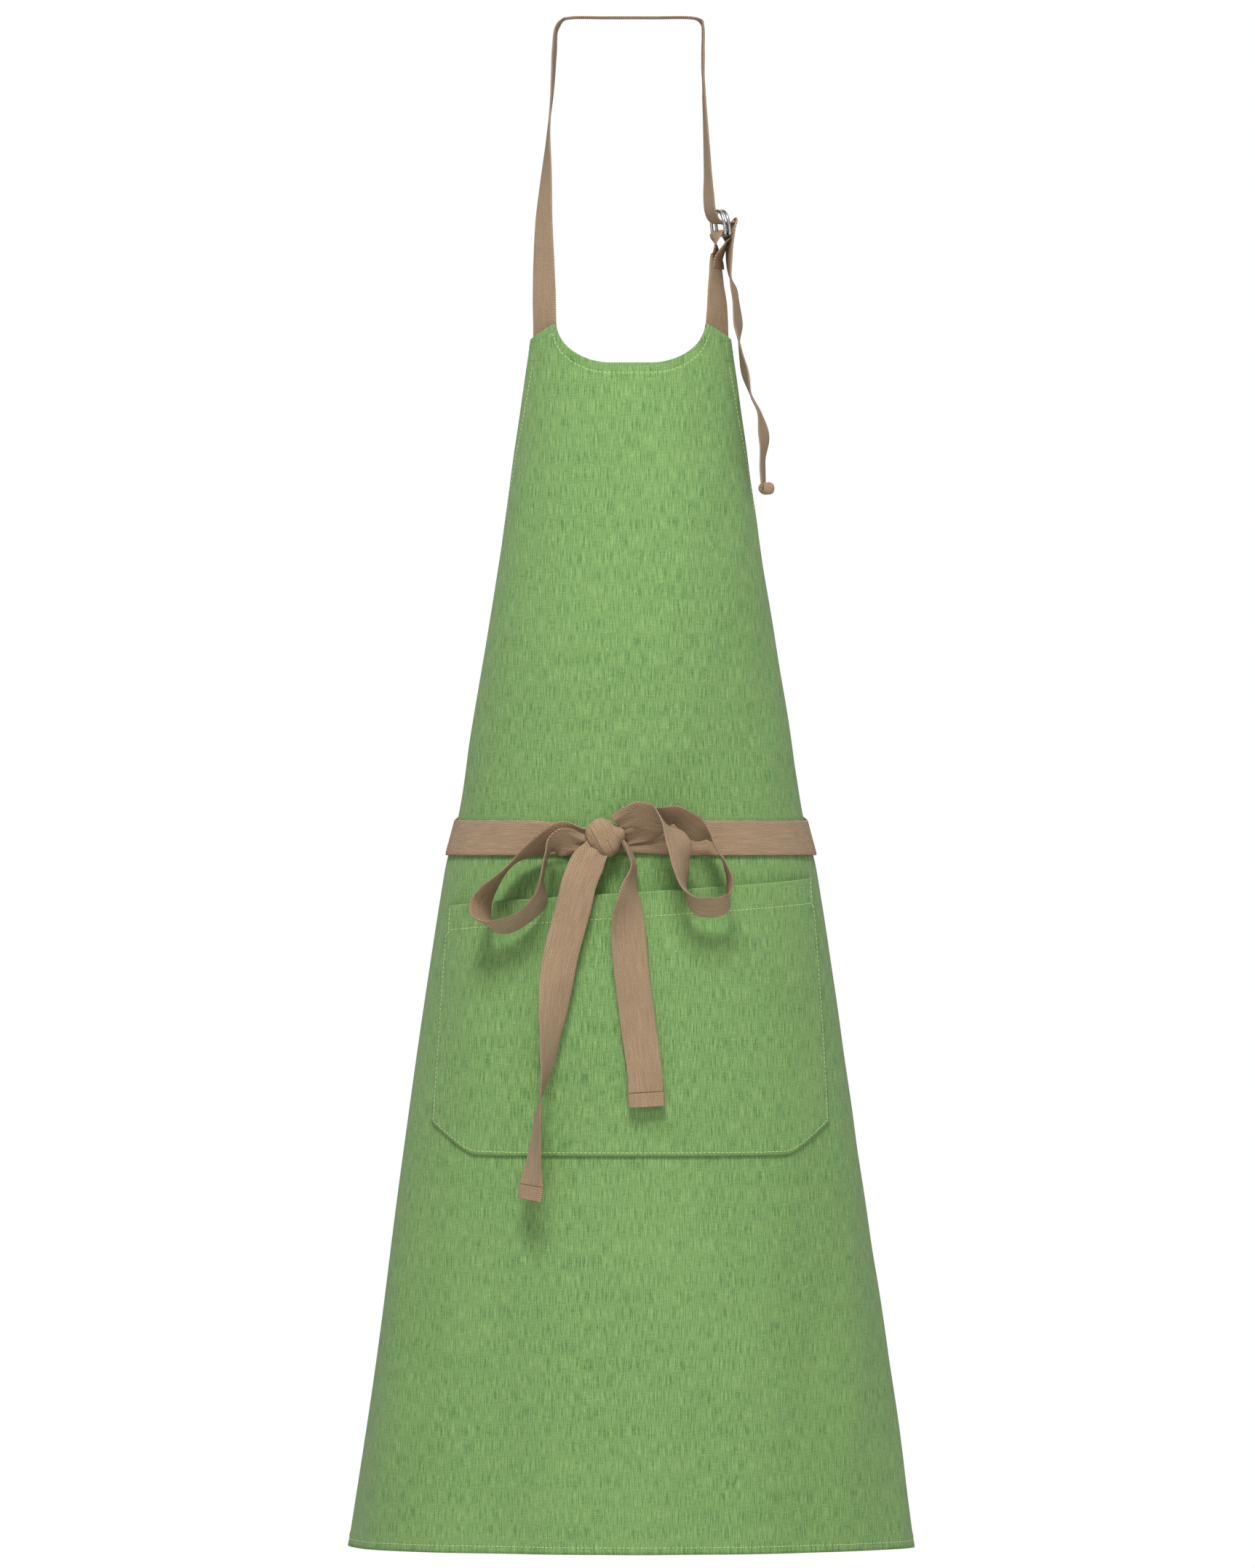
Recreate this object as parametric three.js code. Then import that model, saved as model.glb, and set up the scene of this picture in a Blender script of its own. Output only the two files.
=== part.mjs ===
// A bib apron, as it hangs when worn: a cotton panel with a patch pocket, a neck strap that is
// adjusted by two D-rings, and two waist ties that cross at the back and are tied in a bow in front.
// Millimetres, +Z up, front towards -Y. The origin is under the middle of the neck strap, where the
// wearer's neck holds the apron up.
import * as THREE from "three";
import { mergeVertices } from "three/addons/utils/BufferGeometryUtils.js";

// Heights below the neck strap's middle.
const BIB_TOP = 217;
const WAIST = 579;
const HEM = 1080;

// Cloth, tape and the gaps between layers.
const CLOTH = 1.0;
const FOLD = 0.8;
const TAPE_WIDTH = 25;
const TAPE = 1.4;
const LAYER_GAP = 0.3;
const TIE_GAP = 1.0;
const HEM_FOLD = 10;
const EDGE_FOLD = 9;
const HEM_INSET = 1;

// The neckline: its scoop's depth, and where its flat bottom ends and its sides rise, as shares of
// the way from the middle to the bib's corner.
const SCOOP = 28;
const SCOOP_FLAT = 0.34;
const SCOOP_SIDE = 0.78;
const CORNER_DROP = 11;
const FACING = 8;

// The pocket, as cut: its width, the height of its middle, the slope of its mouth from side to side,
// the corners cut off its bottom, and how far its mouth stands open.
const POCKET_WIDTH = 308;
const POCKET_TOP = WAIST + 38;
const POCKET_BOTTOM = WAIST + 223;
const POCKET_TILT = 10;
const POCKET_CORNER = [38, 23];
const POCKET_HEM = 18;
const POCKET_GAPE = 7.5;
const GAPE_POWER = 1.4;
const MOUTH_HEM_SHARE = 0.93;

// The neck.
const NECK_WIDTH = 97;
const NECK_BEND = 4;

// The D-rings: wire, room beside the tape, width, depth, and the middle of the two straight bars.
const WIRE = 3;
const RING_EASE = 2;
const RING_WIDTH = TAPE_WIDTH + WIRE + RING_EASE;
const RING_DEPTH = 17;
const RING_LEAN = 8;
const RING_CLEAR = 0.4;
const RING_SPACING = WIRE + RING_CLEAR;
const RING_AT = new THREE.Vector3(64, -38, -154);
const RING_ACROSS = new THREE.Vector3(-0.3, 0.95, 0).normalize();
const STRAP_THROUGH_RING = 8.5;

// The bow: the knot's middle, the tape its rows are laid for, the knot's size, and the folded ends
// of the tails.
const KNOT_X = -16;
const BOW_TAPE = 25;
const bowScale = TAPE_WIDTH / BOW_TAPE;
const KNOT = [29 * bowScale, 16 * bowScale, 28 * bowScale];
const TAIL_FOLD = 10;

const GREEN = 0x4c7f34;
const BEIGE = 0x9a7a58;
const STEEL = 0xc9c9c6;
const COTTON = { color: GREEN, roughness: 0.95, metalness: 0 };
const TWILL = { color: BEIGE, roughness: 0.9, metalness: 0 };
const METAL = { color: STEEL, roughness: 0.3, metalness: 1 };

const RADIANS = Math.PI / 180;
const mix = THREE.MathUtils.lerp;
const smooth = THREE.MathUtils.smoothstep;
const apron = new THREE.Group();

function add(name, geometry, look) {
  const mesh = new THREE.Mesh(geometry, new THREE.MeshStandardMaterial(look));
  mesh.name = name;
  apron.add(mesh);
}

// ---------------------------------------------------------------- the wearer's form

// The cloth hangs round ellipses: half width, half depth, middle's y, and the angle from the front
// at which the panel's own edge lies.
const FORM = [
  { down: BIB_TOP, half: 74.5, deep: 52, middle: -28, edge: 66 },
  { down: BIB_TOP + 80, half: 80.7, deep: 62, middle: -26, edge: 84 },
  { down: BIB_TOP + 203, half: 98.4, deep: 76, middle: -20, edge: 112 },
  { down: WAIST - 37, half: 118, deep: 90, middle: -4, edge: 150 },
  { down: WAIST - 13, half: 122.3, deep: 93.5, middle: -1, edge: 160 },
  { down: WAIST + 24, half: 131.5, deep: 98, middle: -1, edge: 160 },
  { down: WAIST + 181, half: 155, deep: 115, middle: 2, edge: 142 },
  { down: HEM, half: 201, deep: 148, middle: 5, edge: 113 },
];

// The slope of one measure at a station, from its neighbours.
function slope(i, key) {
  const a = FORM[Math.max(i - 1, 0)];
  const b = FORM[Math.min(i + 1, FORM.length - 1)];
  return (b[key] - a[key]) / (b.down - a.down);
}

// One measure of the form at a depth, by a cubic through the stations.
function measure(key, down) {
  let i = 0;
  while (i < FORM.length - 2 && down > FORM[i + 1].down) i += 1;
  const [a, b] = [FORM[i], FORM[i + 1]];
  const span = b.down - a.down;
  const t = THREE.MathUtils.clamp((down - a.down) / span, 0, 1);
  const [t2, t3] = [t * t, t * t * t];
  const ends = a[key] * (2 * t3 - 3 * t2 + 1) + b[key] * (3 * t2 - 2 * t3);
  return ends + span * (slope(i, key) * (t3 - 2 * t2 + t) + slope(i + 1, key) * (t3 - t2));
}

// The point at an angle from the front, towards +X, a lift out from the cloth's outer face.
function onForm(degrees, down, lift) {
  const [a, b] = [measure("half", down), measure("deep", down)];
  const [s, c] = [Math.sin(degrees * RADIANS), Math.cos(degrees * RADIANS)];
  const out = new THREE.Vector3(s / a, -c / b, 0).normalize();
  return out.multiplyScalar(lift).add(new THREE.Vector3(a * s, measure("middle", down) - b * c, -down));
}

// How many millimetres of cloth one degree takes.
function perDegree(degrees, down) {
  const [a, b] = [measure("half", down), measure("deep", down)];
  return RADIANS * Math.hypot(a * Math.cos(degrees * RADIANS), b * Math.sin(degrees * RADIANS));
}

// The angle that lies this far round the cloth from the middle.
function angleOf(round, down) {
  const steps = 24;
  let degrees = 0;
  for (let i = 0; i < steps; i += 1) {
    const half = degrees + round / steps / perDegree(degrees, down) / 2;
    degrees += round / steps / perDegree(half, down);
  }
  return degrees;
}

// ---------------------------------------------------------------- closed solids

// A closed solid from rings of points: every ring has as many points, and the first and last rings
// are closed by fans, unless the rings themselves close on each other.
function loft(rings, closed = false) {
  const n = rings[0].length;
  const count = rings.length;
  const vertices = rings.flat().flatMap((p) => [p.x, p.y, p.z]);
  const faces = [];
  for (let i = 0; i < (closed ? count : count - 1); i += 1) {
    const next = (i + 1) % count;
    for (let j = 0; j < n; j += 1) {
      const k = (j + 1) % n;
      faces.push(i * n + j, i * n + k, next * n + k);
      faces.push(i * n + j, next * n + k, next * n + j);
    }
  }
  for (let j = 1; j < n - 1 && !closed; j += 1) {
    faces.push(0, j + 1, j);
    const last = (count - 1) * n;
    faces.push(last, last + j, last + j + 1);
  }
  return outward(vertices, faces);
}

// A geometry whose faces point out, whichever way its rings were laid.
function outward(vertices, faces) {
  let volume = 0;
  const corner = (i) => new THREE.Vector3().fromArray(vertices, 3 * i);
  for (let i = 0; i < faces.length; i += 3) {
    const [a, b, c] = [corner(faces[i]), corner(faces[i + 1]), corner(faces[i + 2])];
    volume += a.dot(b.cross(c));
  }
  const geometry = new THREE.BufferGeometry();
  geometry.setAttribute("position", new THREE.Float32BufferAttribute(vertices, 3));
  geometry.setIndex(volume < 0 ? faces.reverse() : faces);
  geometry.computeVertexNormals();
  return geometry;
}

// A piece of cloth: place(u, v, side) gives a point of its inner face (side 0) or outer face (side 1).
// Both faces are split along the same diagonals, so that layers on one grid keep their gap.
function cloth(columns, rows, place) {
  const rings = [];
  for (let i = 0; i <= columns; i += 1) {
    const ring = [];
    for (let j = 0; j <= rows; j += 1) ring.push(place(i / columns, j / rows, 0));
    for (let j = rows; j >= 0; j -= 1) ring.push(place(i / columns, j / rows, 1));
    rings.push(ring);
  }
  const n = 2 * (rows + 1);
  const count = columns + 1;
  const vertices = rings.flat().flatMap((p) => [p.x, p.y, p.z]);
  const faces = [];
  const quad = (a, b, c, d) => faces.push(a, b, c, a, c, d);
  for (let i = 0; i < count - 1; i += 1)
    for (let j = 0; j < n; j += 1) {
      const k = (j + 1) % n;
      const around = [i * n + j, i * n + k, (i + 1) * n + k, (i + 1) * n + j];
      if (j > rows) around.push(around.shift());
      quad(...around);
    }
  for (let j = 0; j < rows; j += 1) {
    quad(j, n - 1 - j, n - 2 - j, j + 1);
    const last = (count - 1) * n;
    quad(last + j, last + j + 1, last + n - 2 - j, last + n - 1 - j);
  }
  return outward(vertices, faces);
}

// A tape through points, each a place and the direction across the tape there.
function tape(points, steps, width = TAPE_WIDTH, thick = TAPE) {
  const middle = new THREE.CatmullRomCurve3(points.map((p) => p.at), false, "centripetal");
  const across = new THREE.CatmullRomCurve3(points.map((p) => p.across), false, "centripetal");
  const rings = [];
  for (let i = 0; i <= steps; i += 1) {
    const at = middle.getPoint(i / steps);
    const along = middle.getTangent(i / steps);
    const side = across.getPoint(i / steps);
    side.addScaledVector(along, -side.dot(along)).normalize().multiplyScalar(width / 2);
    const face = along.clone().cross(side).normalize().multiplyScalar(thick / 2);
    rings.push([
      at.clone().sub(side).sub(face),
      at.clone().add(side).sub(face),
      at.clone().add(side).add(face),
      at.clone().sub(side).add(face),
    ]);
  }
  return loft(rings);
}

// Rows of six numbers as tape points: a place, counted from an origin, and the direction across.
function route(origin, rows) {
  return rows.map(([x, y, z, p, q, r]) => ({
    at: new THREE.Vector3(x, y, z).add(origin),
    across: new THREE.Vector3(p, q, r).normalize(),
  }));
}

// ---------------------------------------------------------------- the panel

const PANEL_COLUMNS = 36;
const UPPER_STEP = 44;
const WAIST_STEP = 11;
const SKIRT_ROWS = 9;
const BELOW_SCOOP = 24;
const WAIST_ROWS = 4;

// The depth of the panel's top edge, at a share of the way from the middle to the corner.
function topEdge(share) {
  const s = Math.abs(share);
  const rise = THREE.MathUtils.clamp((s - SCOOP_FLAT) / (SCOOP_SIDE - SCOOP_FLAT), 0, 1);
  const scoop = SCOOP * Math.sqrt(1 - rise * rise);
  return BIB_TOP + scoop + CORNER_DROP * Math.max(0, (s - SCOOP_SIDE) / (1 - SCOOP_SIDE));
}

// The depths of the panel's rows: from the neckline, past the waist in short steps, to the hem.
function panelDowns(share) {
  const top = topEdge(share);
  const level = BIB_TOP + SCOOP + BELOW_SCOOP;
  const downs = [top, mix(top, level, 0.3), mix(top, level, 0.65)];
  const aboveWaist = WAIST - WAIST_STEP * (WAIST_ROWS + 1);
  for (let down = level; down < aboveWaist; down += UPPER_STEP) downs.push(down);
  for (let i = -WAIST_ROWS; i <= WAIST_ROWS; i += 1) downs.push(WAIST + WAIST_STEP * i);
  const skirt = WAIST + WAIST_STEP * WAIST_ROWS;
  const aboveHem = HEM - HEM_FOLD - HEM_INSET;
  for (let i = 1; i <= SKIRT_ROWS; i += 1) downs.push(mix(skirt, aboveHem, i / SKIRT_ROWS));
  return [...downs, HEM];
}

const panelRows = panelDowns(0).length - 1;

function panelPoint(share, row, lift) {
  const down = panelDowns(share)[row];
  return onForm(share * measure("edge", down), down, lift);
}

add(
  "body_panel",
  cloth(PANEL_COLUMNS, panelRows, (u, v, side) =>
    panelPoint(2 * u - 1, Math.round(v * panelRows), (side - 1) * CLOTH),
  ),
  COTTON,
);

// The folded edges inside the panel lie one gap under it.
const foldLift = (side) => -CLOTH - LAYER_GAP - (1 - side) * FOLD;

// Folds share the panel's own columns, so that they lie flat against its faces.
const columnShare = (column) => (2 * column) / PANEL_COLUMNS - 1;

add(
  "bottom_hem",
  cloth(PANEL_COLUMNS, 1, (u, v, side) => {
    const down = HEM - HEM_FOLD * (1 - v);
    const share = columnShare(Math.round(u * PANEL_COLUMNS));
    return onForm(share * measure("edge", down), down, foldLift(side));
  }),
  COTTON,
);

const facingColumns = 2 * Math.floor((SCOOP_SIDE * PANEL_COLUMNS) / 2);
add(
  "neckline_facing",
  cloth(facingColumns, 1, (u, v, side) => {
    const share = columnShare((PANEL_COLUMNS - facingColumns) / 2 + Math.round(u * facingColumns));
    const down = topEdge(share) + HEM_INSET + FACING * v;
    return onForm(share * measure("edge", down), down, foldLift(side));
  }),
  COTTON,
);

// A folded edge down one side, between two of the panel's rows.
function sideFold(column, from, to) {
  return cloth(1, to - from, (u, v, side) =>
    panelPoint(columnShare(column + u), from + Math.round(v * (to - from)), foldLift(side)),
  );
}

const waistRow = panelDowns(1).findIndex((down) => down > WAIST - 10);
for (const [name, column] of [
  ["left", 0],
  ["right", PANEL_COLUMNS - 1],
]) {
  add(`armhole_hem_${name}`, sideFold(column, 1, waistRow), COTTON);
  add(`side_hem_${name}`, sideFold(column, waistRow + 1, panelRows - 1), COTTON);
}

// ---------------------------------------------------------------- the pocket

const POCKET_GAP = 0.5;
const pocketLift = POCKET_GAP + LAYER_GAP + FOLD;

const pocketTop = (u) => POCKET_TOP - POCKET_TILT * u;

function pocketBottom(u) {
  const [wide, high] = POCKET_CORNER;
  const past = Math.abs(u) * (POCKET_WIDTH / 2) - (POCKET_WIDTH / 2 - wide);
  return POCKET_BOTTOM - (high * Math.max(0, past)) / wide;
}

// A point of the pocket: u from -1 to 1 across, a depth, and a lift out of its inner face.
function pocketPoint(u, down, lift) {
  const v = THREE.MathUtils.clamp((down - pocketTop(u)) / (pocketBottom(u) - pocketTop(u)), 0, 1);
  const gape = POCKET_GAPE * (1 - u * u) * (1 - v) ** GAPE_POWER;
  return onForm(angleOf((u * POCKET_WIDTH) / 2, down), down, pocketLift + gape + lift);
}

const POCKET_COLUMN = 12.85;
const pocketColumns = 2 * Math.ceil(POCKET_WIDTH / 2 / POCKET_COLUMN);
add(
  "pocket_panel",
  cloth(pocketColumns, 8, (u, v, side) => {
    const share = 2 * u - 1;
    return pocketPoint(share, mix(pocketTop(share), pocketBottom(share), v), side * CLOTH);
  }),
  COTTON,
);

add(
  "pocket_mouth_hem",
  cloth(pocketColumns, 2, (u, v, side) => {
    const share = (2 * u - 1) * MOUTH_HEM_SHARE;
    const down = pocketTop(share) + HEM_INSET + v * POCKET_HEM;
    return pocketPoint(share, down, -LAYER_GAP - (1 - side) * FOLD);
  }),
  COTTON,
);

const POCKET_EDGE_STEPS = 70;
const POCKET_EDGE_IN = 2;
const BELOW_MOUTH_HEM = 4;
const FOLD_FROM = 0.2;
const FOLD_REACH = 150;

// The turned-in edge that runs down one side, across the bottom and up the other side.
function pocketEdge(along) {
  const [wide, high] = POCKET_CORNER;
  const half = POCKET_WIDTH / 2 - POCKET_EDGE_IN;
  const low = POCKET_BOTTOM - POCKET_EDGE_IN;
  const start = POCKET_HEM + BELOW_MOUTH_HEM;
  const outline = [
    [-half, pocketTop(-1) + start],
    [-half, low - high],
    [-half + wide, low],
    [half - wide, low],
    [half, low - high],
    [half, pocketTop(1) + start],
  ];
  const steps = outline.length - 1;
  const i = Math.min(Math.floor(along * steps), steps - 1);
  const t = along * steps - i;
  return [mix(outline[i][0], outline[i + 1][0], t), mix(outline[i][1], outline[i + 1][1], t)];
}

add(
  "pocket_edge_fold",
  cloth(POCKET_EDGE_STEPS, 1, (u, v, side) => {
    const [round, down] = pocketEdge(u);
    const shrink = 1 - (v * EDGE_FOLD) / (POCKET_WIDTH / 2);
    const level = mix(POCKET_TOP, POCKET_BOTTOM, FOLD_FROM);
    const raised = 1 - (v * EDGE_FOLD) / FOLD_REACH;
    const inner = down > level ? level + (down - level) * raised : down;
    return onForm(angleOf(round * shrink, inner), inner, POCKET_GAP + side * FOLD);
  }),
  COTTON,
);

// ---------------------------------------------------------------- the neck strap

const ORIGIN = new THREE.Vector3();
const STRAP_SHARE = (1 + SCOOP_SIDE) / 2;
const CORNER_RADIUS = 48.8;
const strapSag = TAPE_WIDTH ** 2 / (8 * CORNER_RADIUS);
const strapLift = -CLOTH - FOLD - 2 * LAYER_GAP - TAPE / 2 - strapSag;

// A tape point inside the bib's corner, where the strap is sewn in. The flat tape lies as far in as
// the cloth there bends away from it.
function sewn(hand, down) {
  const degrees = hand * STRAP_SHARE * measure("edge", BIB_TOP);
  const near = onForm(degrees - hand, down, strapLift);
  const far = onForm(degrees + hand, down, strapLift);
  return { at: onForm(degrees, down, strapLift), across: far.sub(near).normalize() };
}

const neckHalf = NECK_WIDTH / 2;
const overNeck = [
  [-neckHalf - 4, -3, -9, 0.08, 1, 0],
  [-neckHalf - 1.7, -1, -NECK_BEND, 0.05, 1, 0],
  [-neckHalf + 1.5, 0, -0.4, 0, 1, 0],
  [-neckHalf + 7, 0, TAPE / 2, 0, 1, 0],
  [-20, 0, TAPE / 2, 0, 1, 0],
  [0, 0, TAPE / 2, 0, 1, 0],
  [20, 0, TAPE / 2, 0, 1, 0],
  [neckHalf - 7, 0, TAPE / 2, 0, 1, 0],
  [neckHalf - 1.5, 0, -0.4, 0, 1, 0],
  [neckHalf + 1.7, -1, -NECK_BEND, -0.02, 1, 0],
  [neckHalf + 2.5, -3, -9, -0.04, 1, 0],
];
const downLeft = [
  [-60.8, -53.5, -205, -0.66, 0.75, 0],
  [-61.2, -51, -175, -0.6, 0.8, 0],
  [-61.2, -47, -144, -0.47, 0.88, 0],
  [-59.7, -41, -114, -0.3, 0.95, 0],
  [-58.2, -32, -83, -0.06, 1, 0],
  [-55.6, -21, -52, 0.05, 1, 0],
  [-54, -9, -24, 0.1, 1, 0],
];
const downRight = [
  [51, -10, -26, -0.05, 1, 0],
  [51.5, -20, -52, -0.05, 1, 0],
  [53, -29, -83, -0.12, 0.99, 0],
  [54.3, -35.5, -112, -0.2, 0.97, 0],
  [54.8, -37.8, -126, -0.28, 0.96, 0],
];

// Steps away from the ring's middle: out is square to the tape's faces, up is +Z.
const ringOut = new THREE.Vector3(RING_ACROSS.y, -RING_ACROSS.x, 0);
function atRing(out, up) {
  const at = RING_AT.clone().addScaledVector(ringOut, out);
  return { at: at.setZ(at.z + up), across: RING_ACROSS };
}

const ringsHalf = RING_SPACING / 2 + WIRE / 2;
const throughRing = [
  atRing(-ringsHalf - 5, STRAP_THROUGH_RING + 8),
  atRing(-ringsHalf - 2.8, STRAP_THROUGH_RING + 2.5),
  atRing(-3, STRAP_THROUGH_RING + 0.3),
  atRing(0, STRAP_THROUGH_RING),
  atRing(ringsHalf + LAYER_GAP, STRAP_THROUGH_RING),
];
add(
  "neck_strap",
  tape(
    [
      sewn(-1, BIB_TOP + 24),
      sewn(-1, BIB_TOP + 8),
      ...route(ORIGIN, [...downLeft, ...overNeck, ...downRight]),
      ...throughRing,
    ],
    64,
  ),
  TWILL,
);

// The short strap goes up from the bib's corner, over both bars and back down on itself.
const LOOP_GAP = 0.5;
const loopOut = ringsHalf + LOOP_GAP + TAPE / 2;
const loopUp = WIRE / 2 + LOOP_GAP + TAPE / 2;
const foldedBack = TAPE + LOOP_GAP;
add(
  "neck_strap_short",
  tape(
    [
      sewn(1, BIB_TOP + 24),
      sewn(1, BIB_TOP + 8),
      ...route(ORIGIN, [
        [60.8, -52, -202, 0.62, 0.78, 0],
        [60.4, -47, -186, 0.4, 0.92, 0],
      ]),
      atRing(-loopOut + 0.4, -16),
      atRing(-loopOut, -6),
      atRing(-loopOut, -1),
      atRing(-loopOut + 1.6, loopUp - 0.5),
      atRing(0, loopUp),
      atRing(loopOut - 1.6, loopUp - 0.5),
      atRing(loopOut, -1),
      atRing(loopOut - 0.8, -6),
      atRing(-loopOut + 0.6 + foldedBack, -17),
      atRing(-loopOut + 0.2 + foldedBack, -24),
    ],
    48,
  ),
  TWILL,
);

const RING_STEPS = 14;
const RING_SQUARENESS = 0.6;
const WIRE_SIDES = 6;

// A D-ring: a straight bar and a squarish arc over it, in a plane that leans inward.
function dRing(out) {
  const lean = RING_LEAN * RADIANS;
  const up = ringOut.clone().multiplyScalar(-Math.sin(lean)).setZ(Math.cos(lean));
  const facing = up.clone().cross(RING_ACROSS).normalize();
  const bar = RING_AT.clone().addScaledVector(ringOut, out);
  const outline = [];
  for (let i = 0; i <= RING_STEPS; i += 1) {
    const t = (Math.PI * i) / RING_STEPS;
    const wide = Math.sign(Math.cos(t)) * Math.abs(Math.cos(t)) ** RING_SQUARENESS;
    outline.push([(wide * RING_WIDTH) / 2, Math.sin(t) ** RING_SQUARENESS * RING_DEPTH]);
  }
  const path = outline.map(([wide, high]) =>
    bar.clone().addScaledVector(RING_ACROSS, wide).addScaledVector(up, high),
  );
  const rings = path.map((at, i) => {
    const before = path[(i + path.length - 1) % path.length];
    const after = path[(i + 1) % path.length];
    const along = after.clone().sub(before).normalize();
    const side = along.cross(facing).normalize();
    return Array.from({ length: WIRE_SIDES }, (_, j) => {
      const t = (2 * Math.PI * (j + 0.5)) / WIRE_SIDES;
      const reach = side.clone().multiplyScalar(Math.cos(t)).addScaledVector(facing, Math.sin(t));
      return at.clone().addScaledVector(reach, WIRE / 2);
    });
  });
  return loft(rings, true);
}

add("d_ring_inner", dRing(-RING_SPACING / 2), METAL);
add("d_ring_outer", dRing(RING_SPACING / 2), METAL);

// The strap's free end hangs outside the rings and ends in a small knot.
const tailStart = atRing(ringsHalf + 2 * LAYER_GAP, STRAP_THROUGH_RING);
const tailRows = [
  [72.2, -39, -152, -0.25, 0.97, 0],
  [72, -40, -166, -0.2, 0.98, 0],
  [72.4, -41, -182, -0.1, 0.99, 0],
  [74.4, -42, -197, 0.25, 0.97, 0],
  [75.6, -42, -214, 0.22, 0.97, 0],
  [77, -42, -231, 0, 1, 0],
  [80.5, -41, -250, -0.15, 0.98, 0],
  [85.5, -40, -267, 0, 1, 0],
  [91.5, -40, -281, 0.1, 1, 0],
  [94, -41, -297, 0.3, 0.95, 0],
  [93.4, -42, -313, 0.15, 0.98, 0],
  [93.6, -42, -328, 0.1, 0.99, 0],
];
const TAIL_KNOT = [12, 9, 9];
const tailEnd = new THREE.Vector3(...tailRows.at(-1).slice(0, 3));
const TAIL_KNOT_SIDE = 2;
const tailKnotAt = tailEnd
  .clone()
  .add(new THREE.Vector3(TAIL_KNOT_SIDE, 0, -TAIL_KNOT[2] / 2 - LAYER_GAP));
add(
  "neck_strap_tail",
  tape(
    [tailStart, atRing(ringsHalf + 3.3, STRAP_THROUGH_RING - 0.8), ...route(ORIGIN, tailRows)],
    30,
  ),
  TWILL,
);

// A soft knot: a ball squeezed to its size.
function knot(size, at, rounds, levels) {
  const ball = new THREE.SphereGeometry(0.5, rounds, levels);
  ball.deleteAttribute("normal");
  ball.deleteAttribute("uv");
  ball.scale(...size).translate(...at);
  return mergeVertices(ball);
}

add("tail_end_knot", knot(TAIL_KNOT, tailKnotAt, 10, 6), TWILL);

// ---------------------------------------------------------------- the waist ties

// The ties: how far inside the edge they start, how far they lap each other at the edges, the rise
// where they cross at the back, and where they have come out past the edge and lie flat again, in
// degrees.
const ANCHOR_IN = 9;
const TIES_LAP = 3;
const CROSS_RISE = TAPE_WIDTH - TIES_LAP;
const TIE_STEPS = 56;
const OUT_FROM = 1;
const OUT_UNDER = 11;
const OUT_OVER = 7;
const FLAT_FROM = 4;
const FLAT_BY = 40;
const LEVEL_BY = 275;
const SHORT_OF_KNOT = 0.8;
const TIES_APART = 0.6;
const tieUnder = TIE_GAP;
const tieOver = TIE_GAP + TAPE + TIES_APART;
const tieInside = -CLOTH - FOLD - 3.5 * LAYER_GAP - TAPE;
const waistEdge = measure("edge", WAIST);
const knotAngle = Math.asin(KNOT_X / measure("half", WAIST)) / RADIANS;

// A tie starts inside its own edge, crosses the other tie at the back, and comes round the far side
// to the knot. Its angle is counted from the front, towards its own side.
function tie(hand, crossing, clearBy) {
  const start = waistEdge - ANCHOR_IN;
  const beyond = 360 - waistEdge;
  const end = 360 + hand * knotAngle - SHORT_OF_KNOT;
  return cloth(TIE_STEPS, 3, (u, v, side) => {
    const turned = mix(start, end, u);
    const outside = smooth(turned, waistEdge + OUT_FROM, waistEdge + clearBy);
    const settled = smooth(turned, beyond + FLAT_FROM, beyond + FLAT_BY);
    const lift = mix(mix(tieInside, crossing, outside), tieUnder, settled);
    const crossed = THREE.MathUtils.clamp((turned - waistEdge) / (beyond - waistEdge), 0, 1);
    const rise = CROSS_RISE * mix(-1, 1, crossed);
    const level = rise * (1 - smooth(turned, beyond, LEVEL_BY));
    const down = WAIST - level + (v - 0.5) * TAPE_WIDTH;
    return onForm(hand * turned, down, lift + side * TAPE);
  });
}

add("waist_tie_left", tie(-1, tieUnder, OUT_UNDER), TWILL);
add("waist_tie_right", tie(1, tieOver, OUT_OVER), TWILL);

// ---------------------------------------------------------------- the bow

const KNOT_CLEAR = 0.7;
const knotAt = onForm(knotAngle, WAIST, TIE_GAP + TAPE + KNOT_CLEAR + KNOT[1] / 2);
add("bow_knot", knot(KNOT, knotAt, 14, 8), TWILL);

const leftLoop = [
  [-15.5, 4.5, 0, 0, 0.2, -1],
  [-31, 3, 1.5, 0.1, 0.5, -0.85],
  [-53.5, 4, -9, 0.47, 0.87, -0.16],
  [-66.8, 6, -18.4, 0.26, 0.95, 0.13],
  [-82, 11, -35, 0.61, 0.75, 0.24],
  [-88, 11, -46.4, 0.63, 0.76, 0.12],
  [-88, 8, -56.6, 0.53, 0.84, -0.06],
  [-83, 3, -61.7, 0.29, 0.91, -0.29],
  [-70.9, -1, -61.7, 0.11, 0.9, -0.42],
  [-55, -6, -53, 0.3, 0.9, -0.32],
  [-47, -8, -43.4, 0.33, 0.89, -0.3],
  [-44.9, -8, -26, 0.07, 1, 0],
  [-41.6, -7, -11, 0.1, 0.99, 0],
  [-39, -6.3, -4.5, 0.12, 0.92, -0.35],
  [-34, -5.5, -2.5, 0.05, 0.7, -0.7],
  [-28, -4, -3, 0, 0.5, -0.85],
  [-21.8, -1.2, -4.2, 0, 0.35, -0.93],
  [-16, 0.6, -5, 0, 0.2, -1],
];
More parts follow.
